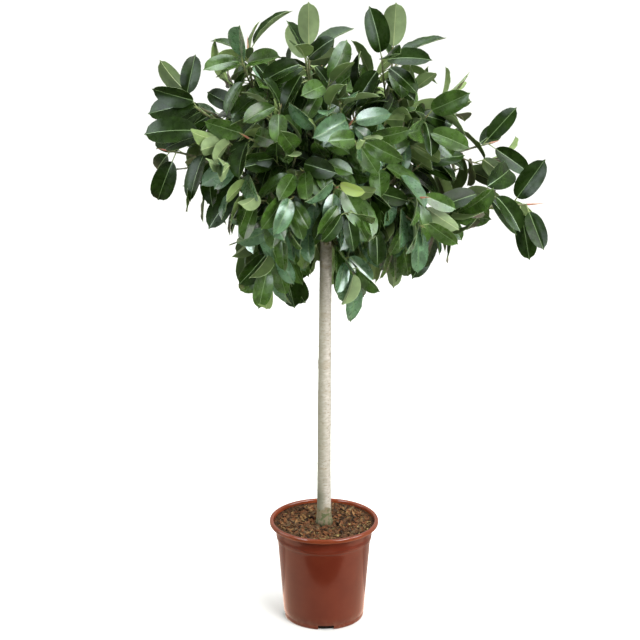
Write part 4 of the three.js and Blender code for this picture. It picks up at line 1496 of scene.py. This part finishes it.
# %% Strew the chips
CHIPS = 1500
LONGEST, SHORTEST, SLIMNESS, THICKNESS = 38, 7, (0.20, 0.55), (0.9, 2.4)
CLEAR_OF_STEM, CLEAR_OF_WALL = 24 * MM, 1 * MM
MOSTLY_SMALL, STEEPEST = 1.7, 0.75
TINT_STEPS, TINTS = (0.3, 0.58, 0.76, 0.86), (RED, BROWN, DARK, TAN, GREY)
STRAW_BELOW, STRAW_FROM = 0.15, 0.93
for _ in range(CHIPS):
    share, angle = random(), math.tau * random()
    big = random() ** MOSTLY_SMALL
    long = mix(SHORTEST, LONGEST, big) * MM
    wide = long * mix(*SLIMNESS, random())
    radius = math.sqrt(mix(CLEAR_OF_STEM**2, (soil_radius - long / 2 - CLEAR_OF_WALL) ** 2, share))
    pick = random()
    tint = TINTS[sum(pick >= step for step in TINT_STEPS)]
    if big < STRAW_BELOW and pick > STRAW_FROM:
        tint = STRAW
    thick, tilt = mix(*THICKNESS, random()) * MM, mix(-STEEPEST, STEEPEST, random())
    points, faces = chip(radius * math.cos(angle), radius * math.sin(angle), long, wide, thick, tilt,
                         math.tau * random())
    chips.add(points, faces, tint)
print(CHIPS, "chips")

# %% Strew the fibres
FIBRES, FIBRE_RADIUS = 130, 0.45 * MM
FIBRE_LENGTHS, FIBRE_LIFTS, ENDS_LIFT = (10, 30), (1.5, 4), 1.2 * MM
FIBRE_CLEARANCE, STRAW_SHARE = 26 * MM, 0.7
for _ in range(FIBRES):
    share, angle, heading = math.sqrt(random()), math.tau * random(), math.tau * random()
    length = mix(*FIBRE_LENGTHS, random()) * MM
    radius = mix(FIBRE_CLEARANCE, soil_radius - length * 0.6, share)
    x, y = radius * math.cos(angle), radius * math.sin(angle)
    step = Vector((math.cos(heading), math.sin(heading), 0)) * (length / 2)
    middle = Vector((x, y, mound_height(x, y) + mix(*FIBRE_LIFTS, random()) * MM))
    aside = Vector((-step.y, step.x, 0)) * (random() - 0.5)
    ends = [middle + aside + side * step for side in (-1, 1)]
    ends = [Vector((end.x, end.y, mound_height(end.x, end.y) + ENDS_LIFT)) for end in ends]
    bend = Bend(ends[0], middle * 2 - (ends[0] + ends[1]) / 2, ends[1])
    chips.add(*bar(bend.points(5), [FIBRE_RADIUS] * 6, 4), STRAW if random() < STRAW_SHARE else TAN)
chips = chips.make("bark_chips", chip_finishes, smooth=False)
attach(chips, "root")
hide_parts("soil")
print("chips", triangles(chips), "triangles, top at", round(max(v.co.z for v in chips.data.vertices), 4))

# %% [markdown]
# ## Floor, light and camera
#
# The plant stands on a plain pale floor. A white floor would mirror in every leaf and in the pot and
# wash out their colour, so it is kept out of reflections and bounced light, as a studio does with black
# flags.

# %% Floor
FLOOR_REACH = 60
floor_finish = Finish("floor", base_color=(0.88, 0.88, 0.88), roughness=0.9)
floor = Pile()
floor_corners = [(x * FLOOR_REACH, y * FLOOR_REACH, 0) for x, y in ((-1, -1), (1, -1), (1, 1), (-1, 1))]
floor.add(floor_corners, [(0, 1, 2, 3)])
floor = floor.make("floor", [floor_finish], smooth=False)
floor.visible_glossy = False
floor.visible_diffuse = False
print("the floor is", 2 * FLOOR_REACH, "m wide")

# %% [markdown]
# A low view would look past the floor's edge into the room that lights the plant. A white ring wall at
# that edge closes the view. Only the camera sees it, so it takes no light away.

# %% Backdrop
RING_SIDES, RING_HEIGHT = 64, 60
backdrop_finish = Finish("backdrop", base_color=(0, 0, 0), roughness=1.0, emission_color=(1, 1, 1),
                         emission_strength=1.0)
backdrop = Pile()
ring_points = circle(FLOOR_REACH, 0, RING_SIDES) + circle(FLOOR_REACH, RING_HEIGHT, RING_SIDES)
ring_faces = [(k, (k + 1) % RING_SIDES, RING_SIDES + (k + 1) % RING_SIDES, RING_SIDES + k)
              for k in range(RING_SIDES)]
backdrop.add(ring_points, ring_faces)
backdrop = backdrop.make("backdrop", [backdrop_finish], smooth=False)
backdrop.visible_glossy = False
backdrop.visible_diffuse = False
backdrop.visible_shadow = False
print("the backdrop is", RING_HEIGHT, "m high")

# %% [markdown]
# The light is soft and comes from the upper right, from a lamp of the sun kind with a wide disc, so
# that the floor is lit evenly however far it runs. Small lamps would put hard spots on every leaf
# instead. Broad panels fill in from above, from the left and, faintly, from low in front, where the
# undersides of the leaves would go black.
#
# The sheen on the leaves comes from panels of its own, high and low on both sides. They show only in
# gloss, so their strength can be set without making the plant paler. Each lamp's job says whether it
# lights, shows in gloss, or does both.


# %% Lamps
def lamp(name, kind, place, aim, power, job="both", **shape):
    """A lamp at a place, turned to face a point."""
    data = bpy.data.lights.new(name, kind)
    data.energy = power
    for label, value in shape.items():
        setattr(data, label, value)
    piece = bpy.data.objects.new(name, data)
    piece.location = place
    piece.rotation_euler = (Vector(aim) - Vector(place)).to_track_quat("-Z", "Y").to_euler()
    bpy.context.scene.collection.objects.link(piece)
    piece.visible_camera = False
    piece.visible_diffuse = job != "sheen"
    piece.visible_glossy = job != "light"


def panel(name, place, aim, power, width, height, job, **shape):
    """A rectangular lamp."""
    lamp(name, "AREA", place, aim, power, job, shape="RECTANGLE", size=width, size_y=height, **shape)


# %% Light the plant
HEAD, LOW_HEAD, BODY = (0, 0, 1.3), (0, 0, 1.1), (0, 0, 0.7)
SUN_DISC, NARROW = math.radians(34), math.radians(50)
COOL = (0.86, 0.97, 1.0)
lamp("key", "SUN", (2.6, -2.9, 3.4), (0, 0, 0.8), 3.35, angle=SUN_DISC)
panel("overhead", (0.4, 0.7, 3.4), HEAD, 110, 2.4, 1.3, "light")
panel("left_panel", (-2.8, 0.0, 1.1), BODY, 40, 1.4, 2.2, "both")
panel("low_fill", (0.4, -2.4, 0.3), (0, 0, 1.12), 3.4, 0.8, 0.8, "light", spread=NARROW)
panel("left_sheen", (-2.6, -2.0, 3.0), HEAD, 115, 1.6, 1.6, "sheen", color=COOL)
for side in (-1, 1):
    panel("low_sheen", (2.5 * side, -2.7, 1.8), LOW_HEAD, 90, 1.4, 1.2, "sheen", color=COOL)
panel("right_sheen", (3.0, -0.8, 2.2), HEAD, 135, 1.4, 2.0, "sheen", color=COOL)
panel("top_sheen", (0.2, 0.4, 3.4), HEAD, 66, 2.0, 1.6, "sheen", color=COOL)
print(len(bpy.data.lights), "lamps round the plant")

# %% [markdown]
# A warm white card lies under the pot and shows only in gloss. It ends a little in front of the pot, so
# the plastic mirrors its near edge as a dark wedge between pale flanks, which gives the body its round,
# moulded look.

# %% Card under the pot
CARD_FRONT, CARD_BACK, CARD_WIDTH, CARD_DEPTH = -0.33, 0.12, 1.6, 4 * MM
CARD_COLOUR = (1, 0.60, 0.44)
card_middle = (CARD_FRONT + CARD_BACK) / 2
panel("floor_card", (0, card_middle, -CARD_DEPTH), (0, card_middle, 1), 2.3, CARD_WIDTH,
      CARD_BACK - CARD_FRONT, "sheen", color=CARD_COLOUR)
print("the card ends", round(-CARD_FRONT - LIP_RADIUS, 3), "m in front of the lip")

# %% [markdown]
# Around the lamps the room itself is bright above and at the sides, and dim in front and below. The dim
# front gives the pot its deep middle. Low behind, the room is bright and warm, because the far sides of
# a round pot mirror what stands behind it, and they would show as two dark bands.

# %% Room
world = bpy.data.worlds.new("studio")
world.use_nodes = True
bpy.context.scene.world = world
room = Pattern(world.node_tree)
background = room.tree.nodes["Background"]
direction = room.node("ShaderNodeTexCoord", output="Generated")
forward, depth = room.part(direction, "Y"), 0 - room.part(direction, "Z")
front = (0 - forward).between(0.30, 0.85)
behind = forward.between(0.30, 0.75)
light = room.blend(depth.between(-0.10, 0.35), (0.95, 0.97, 0.90), (0.54, 0.56, 0.42))
light = room.blend(front, light, (0.46, 0.50, 0.38))
light = room.blend(front * depth.between(-0.22, 0.02), light, (0.20, 0.21, 0.15))
light = room.blend(behind * depth.between(0.08, 0.24), light, (1.15, 0.84, 0.68))
room.tree.links.new(light.socket, background.inputs["Color"])
background.inputs["Strength"].default_value = 0.72
print("the room has", len(room.tree.nodes), "nodes")

# %% [markdown]
# The camera looks down on the plant a little from in front, through a long lens, so near leaves don't
# look larger than far ones. The Standard view keeps the finishes' colours as they are set.

# %% Camera
CAMERA_PLACE, CAMERA_DIP = (-0.011, -5.0, 2.42), 17.34
SENSOR, LENS = 36, 110.25
camera_data = bpy.data.cameras.new("camera")
camera_data.sensor_width, camera_data.lens = SENSOR, LENS
camera = bpy.data.objects.new("camera", camera_data)
camera.location = CAMERA_PLACE
camera.rotation_euler = (math.radians(90 - CAMERA_DIP), 0, 0)
bpy.context.scene.collection.objects.link(camera)
bpy.context.scene.camera = camera
bpy.context.scene.view_settings.view_transform = "Standard"
print("camera", round(math.dist(camera.location, HEAD), 2), "m from the head")
